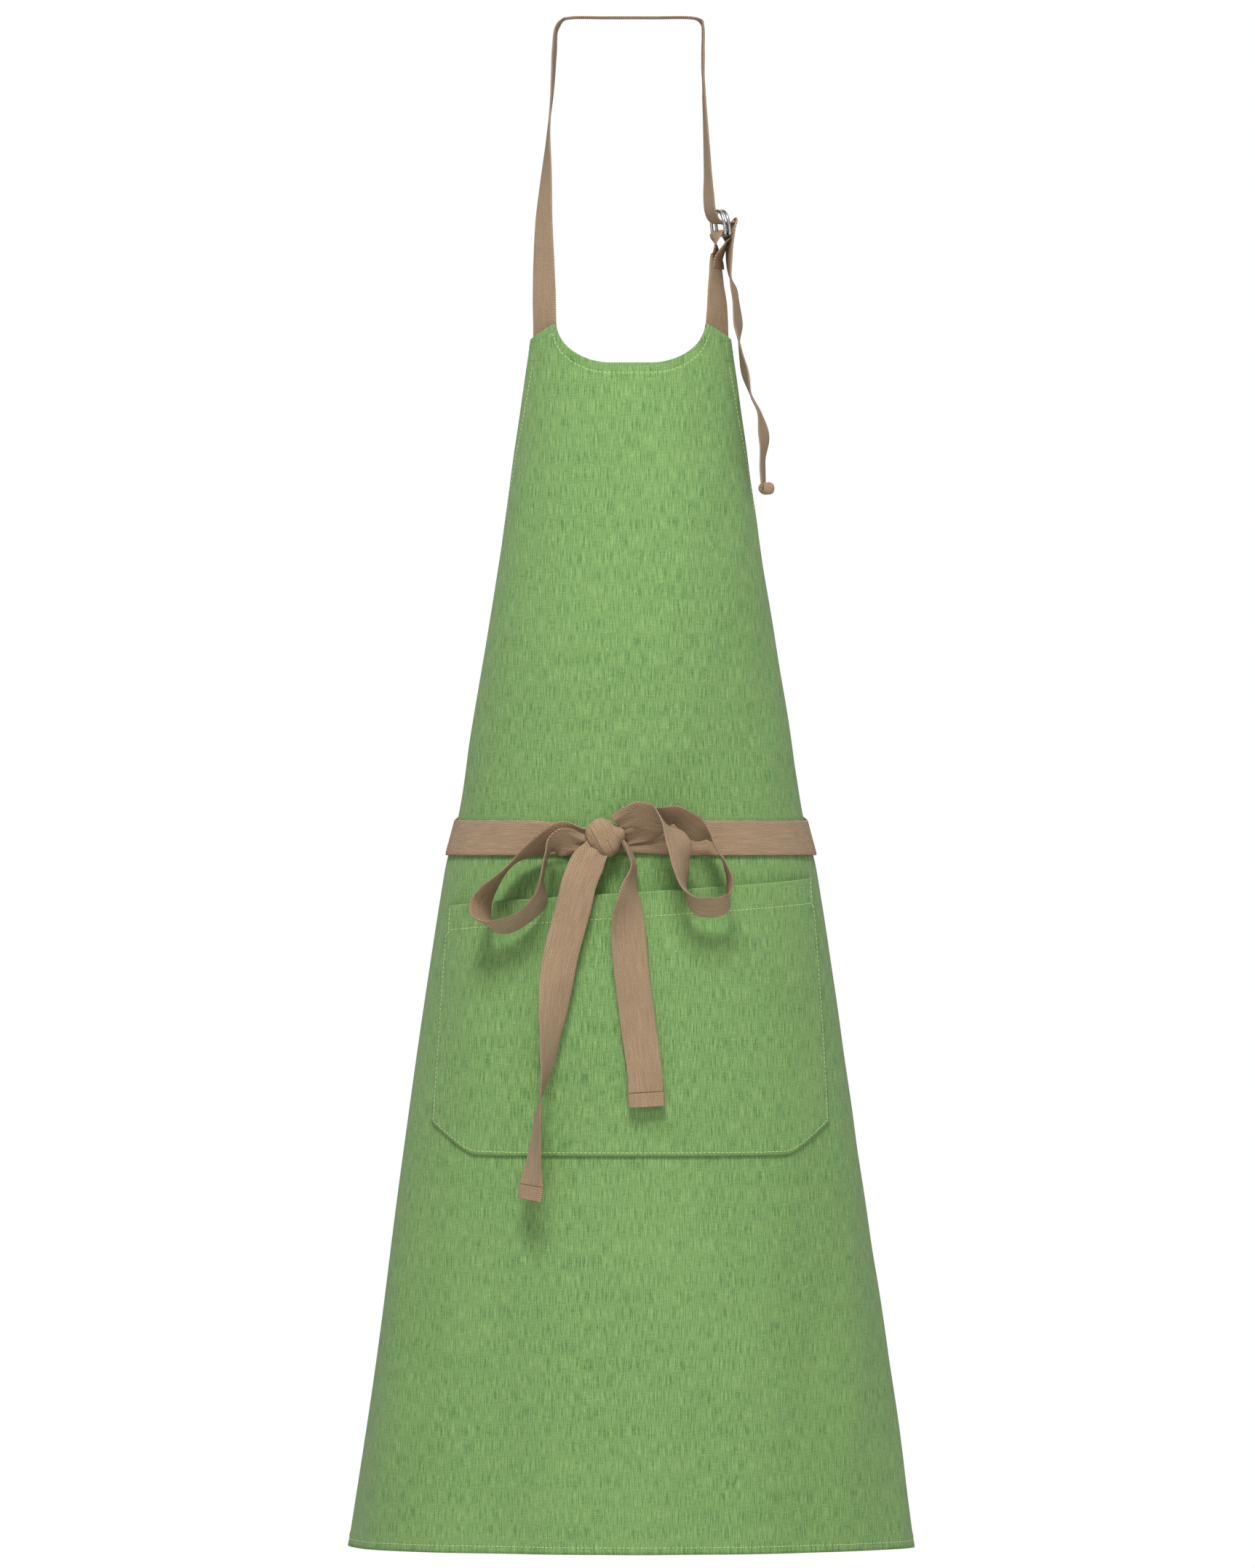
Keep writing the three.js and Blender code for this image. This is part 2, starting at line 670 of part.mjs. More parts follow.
const rightLoop = [
  [12, -4.5, 13.4, 0.1, 0.6, -0.79],
  [16.6, -5.9, 15.1, 0.05, 0.6, -0.8],
  [22.4, -7, 15.5, 0, 0.57, -0.83],
  [32.6, -10, 14, 0.06, 0.6, -0.8],
  [40.3, -15, 10, 0.51, 0.64, -0.57],
  [50.5, -18, -3.6, 0.7, 0.71, 0],
  [52, -18, -18.9, 0.49, 0.87, -0.06],
  [55.6, -18, -36.7, 0.2, 0.9, -0.37],
  [63.8, -17, -46.4, 0.14, 0.79, -0.59],
  [74.5, -15, -48.5, 0.08, 0.84, -0.53],
  [84.7, -11, -44.9, 0.04, 0.86, -0.51],
  [86.7, -8, -31.6, -0.18, 0.98, 0],
  [83.6, -6, -19.4, -0.12, 0.99, 0.08],
  [77.5, -4, -6.6, 0.16, 0.98, -0.12],
  [71.4, -3, 2, 0, 0.95, -0.3],
  [63.2, -2, 6.6, -0.24, 0.7, -0.67],
  [48, -2, 16.3, -0.2, 0.85, -0.49],
  [32, 0, 11, 0, 0.5, -0.86],
  [12.7, 6, 1.5, 0, 0.12, -1],
];
const leftTail = [
  [-6, -5, -14, 0.97, 0, -0.25],
  [-13, -9, -19, 0.97, 0, -0.25],
  [-18.6, -11, -30, 0.97, 0, -0.22],
  [-22.4, -12, -45.9, 0.97, 0, -0.22],
  [-27.5, -12, -64.8, 0.97, 0, -0.24],
  [-32.9, -13, -86.7, 0.97, 0.1, -0.2],
  [-38.3, -18, -128, 0.74, 0.68, -0.1],
  [-42.6, -22, -164.7, 0.27, 0.96, 0],
  [-45.6, -24, -179, 0.04, 1, 0],
  [-48.5, -25, -201, -0.2, 0.98, 0],
  [-50, -25, -219, -0.36, 0.93, 0],
  [-52.6, -24, -243, -0.65, 0.76, 0],
];
const rightTail = [
  [12.9, -7.5, -3.5, 0.1, 0.99, 0],
  [19.1, -13, -18.9, 0.14, 0.99, 0],
  [18.1, -16, -29, 0.31, 0.95, 0],
  [16, -19, -40, 0.59, 0.81, 0],
  [14.8, -17, -53.6, 0.86, 0.51, 0],
  [15.6, -14, -69.4, 1, 0.1, 0],
  [17.3, -13, -91.8, 1, 0, 0.05],
  [21.9, -14, -128, 1, 0, 0.1],
  [26.8, -17, -164.7, 1, 0, 0.1],
  [27.6, -18, -178, 1, 0, 0.05],
];

// A row of the bow grows with the tape.
const bowRoute = (rows) =>
  route(
    knotAt,
    rows.map(([x, y, z, ...across]) => [x * bowScale, y * bowScale, z * bowScale, ...across]),
  );

add("bow_loop_left", tape(bowRoute(leftLoop), 46), TWILL);
add("bow_loop_right", tape(bowRoute(rightLoop), 48), TWILL);

// A tail, and the double fold that is sewn across its end.
function tail(name, rows, steps) {
  const points = bowRoute(rows);
  add(`bow_tail_${name}`, tape(points, steps), TWILL);
  const last = points.at(-1);
  const along = last.at.clone().sub(points.at(-2).at).normalize();
  const start = last.at.clone().addScaledVector(along, LAYER_GAP);
  const finish = start.clone().addScaledVector(along, TAIL_FOLD);
  const ends = [start, start.clone().lerp(finish, 0.5), finish];
  add(
    `tail_end_fold_${name}`,
    tape(ends.map((at) => ({ at, across: last.across })), 3, TAPE_WIDTH, 2 * TAPE),
    TWILL,
  );
}

tail("left", leftTail, 24);
tail("right", rightTail, 20);

export default apron;
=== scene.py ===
"""A bib apron as it hangs when worn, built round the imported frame: cloth, pocket, ties, bow and D-rings."""
import math
import random

import bmesh
import bpy
import numpy as np
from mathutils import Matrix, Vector


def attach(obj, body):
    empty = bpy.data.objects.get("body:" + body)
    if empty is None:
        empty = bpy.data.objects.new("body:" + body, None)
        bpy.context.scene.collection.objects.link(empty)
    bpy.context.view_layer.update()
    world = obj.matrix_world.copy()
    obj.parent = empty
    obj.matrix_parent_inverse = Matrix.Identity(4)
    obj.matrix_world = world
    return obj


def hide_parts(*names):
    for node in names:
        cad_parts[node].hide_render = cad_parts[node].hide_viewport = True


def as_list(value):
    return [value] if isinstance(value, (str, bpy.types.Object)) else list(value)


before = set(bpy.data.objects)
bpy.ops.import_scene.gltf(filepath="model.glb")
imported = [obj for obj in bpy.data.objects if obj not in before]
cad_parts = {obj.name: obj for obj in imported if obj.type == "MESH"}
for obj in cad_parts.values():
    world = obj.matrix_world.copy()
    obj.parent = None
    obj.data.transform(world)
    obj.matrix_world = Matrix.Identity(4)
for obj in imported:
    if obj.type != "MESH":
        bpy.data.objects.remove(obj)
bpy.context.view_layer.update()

# ---------- sizes, in millimetres
MM = 0.001
BIB_TOP = 217
WAIST = 579
HEM = 1080
CLOTH = 1.0
FOLD = 0.8
TAPE_WIDTH = 25
TAPE = 1.4
LAYER_GAP = 0.3
TIE_GAP = 1.0
SCOOP = 28
SCOOP_FLAT = 0.15
SCOOP_SIDE = 0.69
SCOOP_BEND = 1.8
SCOOP_EASE = 0.75
CORNER_DROP = 11
POCKET_WIDTH = 308
POCKET_TOP = WAIST + 38
POCKET_BOTTOM = WAIST + 223
POCKET_TILT = 10
POCKET_CORNER = (38, 23)
POCKET_GAPE = 7.5
POCKET_FLARE = (-3.0, 4.5)
POCKET_GAP = 0.5
RING_ACROSS = np.array([-0.301131, 0.953583, 0.0])
RING_OUT = np.array([0.953583, 0.301131, 0.0])
RING_AT = np.array([64.0, -38.0, -154.0])
RING_SPACING = 3.4
WIRE = 3.0
WIRE_SHOWN = 2.3
STRAP_THROUGH_RING = 8.5
KNOT_X = -16

# Depth below the strap, half width, half depth, middle's y, and the angle of the panel's edge.
FORM = np.array(
    [
        [BIB_TOP, 74.5, 52, -28, 66],
        [BIB_TOP + 80, 80.7, 62, -26, 84],
        [BIB_TOP + 203, 98.4, 76, -20, 112],
        [WAIST - 37, 118, 90, -4, 150],
        [WAIST - 13, 122.3, 93.5, -1, 160],
        [WAIST + 24, 131.5, 98, -1, 160],
        [WAIST + 181, 155, 115, 2, 142],
        [HEM, 201, 148, 5, 113],
    ],
    float,
)
HALF, DEEP, MIDDLE, EDGE = 1, 2, 3, 4


def measure(key, down):
    """One measure of the worn form at a depth, by a cubic through the stations."""
    down = np.asarray(down, float)
    at, value = FORM[:, 0], FORM[:, key]
    last = len(at) - 1
    before = np.maximum(np.arange(last + 1) - 1, 0)
    after = np.minimum(np.arange(last + 1) + 1, last)
    slope = (value[after] - value[before]) / (at[after] - at[before])
    i = np.clip(np.searchsorted(at, down, side="left") - 1, 0, last - 1)
    span = at[i + 1] - at[i]
    t = np.clip((down - at[i]) / span, 0, 1)
    ends = value[i] * (2 * t**3 - 3 * t**2 + 1) + value[i + 1] * (3 * t**2 - 2 * t**3)
    return ends + span * (slope[i] * (t**3 - 2 * t**2 + t) + slope[i + 1] * (t**3 - t**2))


def smooth(x, low, high):
    t = np.clip((np.asarray(x, float) - low) / (high - low), 0, 1)
    return t * t * (3 - 2 * t)


def mix(a, b, t):
    return a + (b - a) * t


def on_form(degrees, down, lift):
    """Points at an angle from the front, towards +X, a lift out from the cloth's outer face."""
    degrees, down, lift = np.broadcast_arrays(*(np.asarray(x, float) for x in (degrees, down, lift)))
    a, b = measure(HALF, down), measure(DEEP, down)
    s, c = np.sin(np.radians(degrees)), np.cos(np.radians(degrees))
    x, y = s / a, -c / b
    long = np.hypot(x, y)
    return np.stack(
        [a * s + lift * x / long, measure(MIDDLE, down) - b * c + lift * y / long, -down], -1
    )


def per_degree(degrees, down):
    a, b = measure(HALF, down), measure(DEEP, down)
    return math.pi / 180 * np.hypot(a * np.cos(np.radians(degrees)), b * np.sin(np.radians(degrees)))


def angle_of(around, down):
    """The angle that lies this far round the cloth from the middle."""
    steps = 24
    degrees = np.zeros(np.broadcast(around, down).shape)
    for _ in range(steps):
        half = degrees + around / steps / per_degree(degrees, down) / 2
        degrees = degrees + around / steps / per_degree(half, down)
    return degrees


def around_of(degrees, down):
    """How far round the cloth an angle lies: the inverse of angle_of, for the weave's coordinates."""
    steps = 24
    total = np.zeros(np.broadcast(degrees, down).shape)
    for i in range(steps):
        total = total + per_degree(degrees * (i + 0.5) / steps, down) * degrees / steps
    return total


def top_edge(share):
    s = np.abs(share)
    rise = np.clip((s - SCOOP_FLAT) / (SCOOP_SIDE - SCOOP_FLAT), 0, 1)
    drop = CORNER_DROP * np.maximum(0, (s - SCOOP_SIDE) / (1 - SCOOP_SIDE))
    return BIB_TOP + SCOOP * (1 - rise**SCOOP_BEND) ** SCOOP_EASE + drop


# ---------- soft folds in the cloth
def bump(x, middle, reach):
    return np.exp(-(((x - middle) / reach) ** 2))


def sway(degrees, down):
    """How far the cloth stands out from the plain form. The ties and the bib's corners stay clear."""
    x = around_of(degrees, down)
    free = smooth(down, BIB_TOP + 20, BIB_TOP + 120) * (1 - smooth(down, WAIST - 70, WAIST - 22))
    skirt = smooth(down, WAIST + 26, HEM - 260)
    low = smooth(down, WAIST + 60, HEM)
    bib = 1.1 * np.sin(x / 23 + 0.6) * smooth(down, BIB_TOP + 120, WAIST - 60)
    bib = bib + 0.8 * np.sin(x / 14 + down / 120 + 1.1) * bump(down, WAIST - 60, 60)
    bib = bib - 1.6 * bump(x, -34, 26) * bump(down, BIB_TOP + 150, 80)
    bib = bib + 1.2 * bump(x, 38, 22) * bump(down, BIB_TOP + 190, 90)
    waves = 2.2 * np.sin(x / 38 + 0.8) + 1.5 * np.sin(x / 21 - down / 210 + 2.0)
    waves = waves + 1.0 * np.sin(x / 12 + down / 160)
    ripple = 0.35 * np.sin(x / 7.3 + down / 41) * np.sin(down / 33 + x / 29)
    return free * (bib + ripple) + skirt * ripple + low * waves - 2.2 * low


# ---------- meshes
def make_mesh(name, points, faces, material, uv=None):
    """An object from millimetre points and faces, with its weave coordinates in metres."""
    mesh = bpy.data.meshes.new(name)
    mesh.from_pydata((np.asarray(points) * MM).tolist(), [], [tuple(f) for f in faces])
    mesh.polygons.foreach_set("use_smooth", [True] * len(mesh.polygons))
    if uv is not None:
        layer = mesh.uv_layers.new(name="Weave")
        loops = np.zeros(len(mesh.loops), np.int32)
        mesh.loops.foreach_get("vertex_index", loops)
        layer.data.foreach_set("uv", (np.asarray(uv)[loops] * MM).ravel())
    mesh.materials.append(material)
    mesh.update()
    obj = bpy.data.objects.new(name, mesh)
    bpy.context.scene.collection.objects.link(obj)
    return obj


def two_sided(outer, inner, uv):
    """Points, faces and weave coordinates of a closed sheet from its outer and inner grids."""
    columns, rows = outer.shape[:2]
    points = np.concatenate([outer.reshape(-1, 3), inner.reshape(-1, 3)])
    index = np.arange(columns * rows).reshape(columns, rows)
    a, b = index[:-1, :-1].ravel(), index[1:, :-1].ravel()
    c, d = index[1:, 1:].ravel(), index[:-1, 1:].ravel()
    shift = columns * rows
    faces = [np.stack([a, d, c, b], 1), np.stack([a + shift, b + shift, c + shift, d + shift], 1)]
    rim = np.concatenate([index[:, 0], index[-1, 1:], index[-2::-1, -1], index[0, -2:0:-1]])
    ahead = np.roll(rim, -1)
    faces.append(np.stack([rim, ahead, ahead + shift, rim + shift], 1))
    both = np.concatenate([uv.reshape(-1, 2), uv.reshape(-1, 2)])
    return points, np.concatenate(faces), both


def face_out(obj, merge=0.0):
    """Turns all faces of a closed mesh outward, after joining points closer than merge metres."""
    bm = bmesh.new()
    bm.from_mesh(obj.data)
    if merge:
        bmesh.ops.remove_doubles(bm, verts=bm.verts, dist=merge)
    bmesh.ops.recalc_face_normals(bm, faces=bm.faces)
    bm.to_mesh(obj.data)
    bm.free()


def closed_sheet(name, outer, inner, uv, material):
    points, faces, both = two_sided(outer, inner, uv)
    obj = make_mesh(name, points, faces, material, both)
    face_out(obj)
    return obj


def ring_faces(spans, sides, rings):
    """Faces between neighbouring rings of points, from the first ring on for so many spans."""
    faces = []
    for i in range(spans):
        near, far = i * sides, (i + 1) % rings * sides
        for j in range(sides):
            k = (j + 1) % sides
            faces.append((near + j, near + k, far + k, far + j))
    return faces


def cloth_piece(name, columns, rows, place, thick, material, weave=None):
    """A sheet of cloth: place(u, v, lift) gives points for u and v from 0 to 1. The lift is outward."""
    u, v = np.meshgrid(np.linspace(0, 1, columns + 1), np.linspace(0, 1, rows + 1), indexing="ij")
    outer, inner = place(u, v, 0.0), place(u, v, -thick)
    uv = weave(u, v) if weave else np.stack([u, v], -1)
    return closed_sheet(name, outer, inner, uv, material)


# ---------- tapes
def catmull(points, share):
    """A centripetal Catmull-Rom curve through points, at a share of its points' count."""
    last = len(points) - 1
    place = last * share
    i = min(int(place), last - 1)
    w = place - i
    p1, p2 = points[i], points[i + 1]
    p0 = points[i - 1] if i > 0 else 2 * p1 - p2
    p3 = points[i + 2] if i + 2 <= last else 2 * p2 - p1
    gaps = [max(float(np.sum((a - b) ** 2)), 1e-16) ** 0.25 for a, b in ((p0, p1), (p1, p2), (p2, p3))]
    d1 = gaps[1] if gaps[1] > 1e-4 else 1.0
    d0 = gaps[0] if gaps[0] > 1e-4 else d1
    d2 = gaps[2] if gaps[2] > 1e-4 else d1
    t1 = ((p1 - p0) / d0 - (p2 - p0) / (d0 + d1) + (p2 - p1) / d1) * d1
    t2 = ((p2 - p1) / d1 - (p3 - p1) / (d1 + d2) + (p3 - p2) / d2) * d1
    c2 = 3 * (p2 - p1) - 2 * t1 - t2
    c3 = 2 * (p1 - p2) + t1 + t2
    return p1 + t1 * w + c2 * w * w + c3 * w**3


def even_route(rows, step):
    """Middles and across directions at even steps along a route of rows x, y, z, across."""
    rows = np.asarray(rows, float)
    places, across = rows[:, :3], rows[:, 3:] / np.linalg.norm(rows[:, 3:], axis=1, keepdims=True)
    shares = np.linspace(0, 1, 40 * len(rows))
    fine = np.array([catmull(places, s) for s in shares])
    turned = np.array([catmull(across, s) for s in shares])
    far = np.concatenate([[0], np.cumsum(np.linalg.norm(np.diff(fine, axis=0), axis=1))])
    count = max(int(far[-1] / step), 4)
    at = np.linspace(0, far[-1], count + 1)
    middle = np.stack([np.interp(at, far, fine[:, k]) for k in range(3)], 1)
    side = np.stack([np.interp(at, far, turned[:, k]) for k in range(3)], 1)
    return at, middle, side


def tape_frame(middle, side):
    along = np.gradient(middle, axis=0)
    along /= np.linalg.norm(along, axis=1, keepdims=True)
    side = side - along * np.sum(side * along, 1, keepdims=True)
    side /= np.linalg.norm(side, axis=1, keepdims=True)
    face = np.cross(along, side)
    return side, face


RIB = 1.5
RIB_DEEP = 0.22
TAPE_COLUMNS = 16
TAPE_ACROSS = np.sin(np.linspace(-1, 1, TAPE_COLUMNS + 1) * math.pi / 2)
SELVEDGE_POWER = 14
SELVEDGE_WEAVE = 0.05
PINCH_REACH = 18.0
PINCH_FOLD = 3.2


def rounded_edge(across):
    """The tape's thickness across it, as a share: full, and rounded off at the selvedges."""
    return np.sqrt(np.clip(1 - np.abs(across) ** SELVEDGE_POWER, 0, 1))


def ribbon(
    name, rows, width=TAPE_WIDTH, thick=TAPE, step=0.75, cup=0.0, ruffle=0.0, seed=0, pinch=(0, 0)
):
    """A woven tape with toothed selvedges along a route, gathered at its ends by the pinch.

    Returns the tape and its length in millimetres.
    """
    at, middle, side = even_route(rows, step)
    side, face = tape_frame(middle, side)
    across = TAPE_ACROSS
    tooth = RIB_DEEP * np.sin(2 * math.pi * at / RIB)
    wander = ruffle * np.sin(at / 9.0 + seed) + ruffle * 0.7 * np.sin(at / 4.3 + 2 * seed)
    near_start = 1 - smooth(at, 0, PINCH_REACH)
    near_end = smooth(at, at[-1] - PINCH_REACH, at[-1])
    gather = pinch[0] * near_start + pinch[1] * near_end
    half = (width / 2 - RIB_DEEP + tooth) * (1 - gather)
    place = across[None, :] * half[:, None]
    curve = cup * (1 - across**2)[None, :] + wander[:, None] * (across**3)[None, :]
    curve = curve + PINCH_FOLD * gather[:, None] * np.cos(2 * math.pi * across)[None, :]
    round_off = rounded_edge(across) * thick / 2
    weave = SELVEDGE_WEAVE * np.sin(2 * math.pi * at / RIB)[:, None] * np.abs(across)[None, :] ** 4
    top = middle[:, None] + side[:, None] * place[..., None]
    outer = top + face[:, None] * (curve + round_off[None, :] + weave)[..., None]
    inner = top + face[:, None] * (curve - round_off[None, :] - weave)[..., None]
    uv = np.stack(np.broadcast_arrays(across[None, :] * width / 2 + 20 * seed, at[:, None]), -1)
    return closed_sheet(name, outer, inner, uv, tape_tan), float(at[-1])


# ---------- stitches
STITCH = 2.7
STITCH_GAP = 0.55
THREAD = 0.5


def stitches(name, lines, material, seed, sink=0.03):
    """Runs of single stitches along lines of (points, normals), each a small rounded piece of thread."""
    draw = random.Random(seed)
    points, faces = [], []
    ring = [(math.cos(k * math.pi / 3), math.sin(k * math.pi / 3)) for k in range(6)]
    stations = ((0.0, 0.3, -0.5), (0.12, 0.9, -0.05), (0.5, 1.0, 0.22), (0.88, 0.9, -0.05), (1.0, 0.3, -0.5))
    for line, normals in lines:
        line, normals = np.asarray(line, float), np.asarray(normals, float)
        far = np.concatenate([[0], np.cumsum(np.linalg.norm(np.diff(line, axis=0), axis=1))])

        def at(x):
            place = np.array([np.interp(x, far, line[:, k]) for k in range(3)])
            out = np.array([np.interp(x, far, normals[:, k]) for k in range(3)])
            return place, out / np.linalg.norm(out)

        start = 0.4
        while start + STITCH < far[-1]:
            long = STITCH * draw.uniform(0.92, 1.06)
            drift = draw.uniform(-0.07, 0.07)
            a, na = at(start)
            b, nb = at(start + long)
            along = b - a
            out = na + nb
            out /= np.linalg.norm(out)
            across = np.cross(along, out)
            across /= np.linalg.norm(across)
            first = len(points)
            for share, size, high in stations:
                centre = a + along * share + out * (high * THREAD - sink) + across * drift
                for c, s in ring:
                    points.append(centre + (across * c + out * s) * size * THREAD / 2)
            for i in range(len(stations) - 1):
                for k in range(6):
                    n = (k + 1) % 6
                    row = first + 6 * i
                    faces.append((row + k, row + n, row + 6 + n, row + 6 + k))
            faces.append(tuple(first + k for k in range(5, -1, -1)))
            faces.append(tuple(first + 6 * (len(stations) - 1) + k for k in range(6)))
            start += long + STITCH_GAP
    obj = make_mesh(name, points, faces, material)
    face_out(obj)
    return obj


# ---------- materials
class Tree:
    """A material's node tree, with short ways to add and join nodes."""

    def __init__(self, name, roughness, sheen=0.0, metallic=0.0):
        self.material = bpy.data.materials.new(name)
        self.material.use_nodes = True
        self.nodes = self.material.node_tree.nodes
        self.links = self.material.node_tree.links
        self.shader = self.nodes["Principled BSDF"]
        self.shader.inputs["Roughness"].default_value = roughness
        self.shader.inputs["Metallic"].default_value = metallic
        self.shader.inputs["Specular IOR Level"].default_value = 0.25
        self.shader.inputs["Sheen Weight"].default_value = sheen
        self.shader.inputs["Sheen Roughness"].default_value = 0.5

    def put(self, socket, value):
        if isinstance(value, bpy.types.NodeSocket):
            self.links.new(value, socket)
        else:
            socket.default_value = value

    def add(self, kind, settings=None, **inputs):
        made = self.nodes.new(kind)
        for key, value in (settings or {}).items():
            setattr(made, key, value)
        for key, value in inputs.items():
            self.put(made.inputs[key.replace("_", " ")], value)
        return made

    def math(self, operation, a, b=0.0, c=0.0):
        made = self.nodes.new("ShaderNodeMath")
        made.operation = operation
        for socket, value in zip(made.inputs, (a, b, c)):
            self.put(socket, value)
        return made.outputs[0]

    def place(self):
        """The weave coordinates in millimetres: x across the warp, y along it."""
        uv = self.add("ShaderNodeUVMap", {"uv_map": "Weave"})
        scaled = self.nodes.new("ShaderNodeVectorMath")
        scaled.operation = "SCALE"
        self.links.new(uv.outputs["UV"], scaled.inputs[0])
        scaled.inputs["Scale"].default_value = 1 / MM
        return scaled.outputs[0]

    def stretched(self, place, x, y):
        made = self.nodes.new("ShaderNodeVectorMath")
        made.operation = "MULTIPLY"
        self.links.new(place, made.inputs[0])
        made.inputs[1].default_value = (x, y, 1)
        return made.outputs[0]

    def noise(self, place, x, y, detail=2.0, rough=0.5):
        made = self.add("ShaderNodeTexNoise", None, Vector=self.stretched(place, x, y), Scale=1.0)
        made.inputs["Detail"].default_value = detail
        made.inputs["Roughness"].default_value = rough
        return made.outputs[0]

    def step(self, value, low, high):
        """The value remapped from low..high to 0..1, and held there."""
        made = self.add("ShaderNodeMapRange", None, Value=value)
        made.inputs["From Min"].default_value = low
        made.inputs["From Max"].default_value = high
        return made.outputs[0]

    def blend(self, a, b, share):
        made = self.nodes.new("ShaderNodeMix")
        made.data_type = "RGBA"
        self.put(made.inputs[0], share)
        self.put(made.inputs[6], a)
        self.put(made.inputs[7], b)
        return made.outputs[2]

    def bump(self, height, strength, distance, normal=None):
        made = self.add("ShaderNodeBump", None, Height=height, Strength=strength, Distance=distance)
        if normal is not None:
            self.links.new(normal, made.inputs["Normal"])
        return made.outputs[0]

    def finish(self, colour, normal=None):
        self.put(self.shader.inputs["Base Color"], colour)
        if normal is not None:
            self.links.new(normal, self.shader.inputs["Normal"])
        return self.material


def rgb(red, green, blue):
    """An sRGB colour of 0 to 255 as the linear colour that a shader takes."""
    def linear(value):
        value /= 255
        return value / 12.92 if value <= 0.04045 else ((value + 0.055) / 1.055) ** 2.4

    return (linear(red), linear(green), linear(blue), 1.0)


def shaded(shade, red, green, blue):
    """The same, made lighter or darker by a factor."""
    return tuple(shade * c for c in rgb(red, green, blue)[:3]) + (1.0,)


THREAD_PITCH = 0.55


def green_cloth(name, shade=1.0):
    """Heathered chambray: streaky warp and weft, slubs, and light and dark flecks."""
    t = Tree(name, roughness=0.92, sheen=0.12)
    p = t.place()
    base = shaded(shade, 126, 163, 98)
    light = shaded(shade, 154, 190, 118)
    dark = shaded(shade, 78, 126, 66)
    pale = shaded(shade, 184, 208, 116)
    deep = shaded(shade, 46, 98, 66)
    warp = t.noise(p, 1.5, 0.085, 3.0, 0.62)
    weft = t.noise(p, 0.11, 1.6, 3.0, 0.6)
    grain = t.noise(p, 1.9, 1.4, 2.0, 0.6)
    cloud = t.noise(p, 0.012, 0.009, 2.0, 0.5)
    streak = t.math("ADD", t.math("MULTIPLY", warp, 0.62), t.math("MULTIPLY", weft, 0.2))
    streak = t.math("ADD", streak, t.math("MULTIPLY", grain, 0.3))
    colour = t.blend(dark, base, t.step(streak, 0.44, 0.55))
    colour = t.blend(colour, light, t.step(streak, 0.565, 0.68))
    slub = t.step(t.noise(p, 0.95, 0.05, 2.0, 0.55), 0.62, 0.72)
    colour = t.blend(colour, light, t.math("MULTIPLY", slub, 0.45))
    dusk = t.step(t.noise(p, 0.8, 0.06, 2.0, 0.5), 0.63, 0.74)
    colour = t.blend(colour, dark, t.math("MULTIPLY", dusk, 0.5))
    fleck = t.step(t.noise(p, 0.75, 0.42, 1.0, 0.4), 0.735, 0.775)
    colour = t.blend(colour, pale, t.math("MULTIPLY", fleck, 0.8))
    spot = t.step(t.noise(t.stretched(p, 1.0, -1.0), 0.7, 0.45, 1.0, 0.4), 0.745, 0.785)
    colour = t.blend(colour, deep, t.math("MULTIPLY", spot, 0.6))
    colour = t.blend(colour, light, t.math("MULTIPLY", t.step(cloud, 0.45, 0.75), 0.16))
    split = t.add("ShaderNodeSeparateXYZ", None, Vector=p)
    turn = 2 * math.pi / THREAD_PITCH
    threads = t.math("SINE", t.math("MULTIPLY", split.outputs[0], turn))
    picks = t.math("SINE", t.math("MULTIPLY", split.outputs[1], turn))
    height = t.math("ADD", t.math("MULTIPLY", t.math("MULTIPLY", threads, picks), 0.5), streak)
    fine = t.bump(height, 0.35, 0.00022)
    coarse = t.bump(t.noise(p, 0.16, 0.035, 3.0, 0.5), 0.22, 0.0016, fine)
    return t.finish(colour, coarse)


RIB_PITCH = 1.5
CHEVRON = 3.1


def tan_tape(name, shade=1.0):
    """Herringbone cotton tape: slanted ribs that turn at each column, and plain toothed selvedges."""
    t = Tree(name, roughness=0.88, sheen=0.1)
    p = t.place()
    base = shaded(shade, 181, 152, 120)
    light = shaded(shade, 212, 184, 150)
    dark = shaded(shade, 118, 92, 68)
    split = t.add("ShaderNodeSeparateXYZ", None, Vector=p)
    slant = t.math("PINGPONG", t.math("ADD", split.outputs[0], 200.0), CHEVRON)
    phase = t.math("ADD", t.math("DIVIDE", split.outputs[1], RIB_PITCH), t.math("DIVIDE", slant, 1.35))
    ribs = t.math("SINE", t.math("MULTIPLY", phase, 2 * math.pi))
    grain = t.noise(p, 1.3, 1.9, 3.0, 0.65)
    streak = t.noise(p, 0.9, 0.05, 2.0, 0.55)
    cloud = t.noise(p, 0.05, 0.03, 2.0, 0.5)
    tone = t.math("ADD", t.math("MULTIPLY", ribs, 0.26), t.math("MULTIPLY", grain, 0.6))
    tone = t.math("ADD", tone, t.math("MULTIPLY", streak, 0.35))
    colour = t.blend(dark, base, t.step(tone, 0.16, 0.46))
    colour = t.blend(colour, light, t.step(tone, 0.47, 0.80))
    colour = t.blend(colour, dark, t.math("MULTIPLY", t.step(cloud, 0.5, 0.8), 0.16))
    height = t.math("ADD", t.math("MULTIPLY", ribs, 0.5), grain)
    return t.finish(colour, t.bump(height, 0.7, 0.0005))


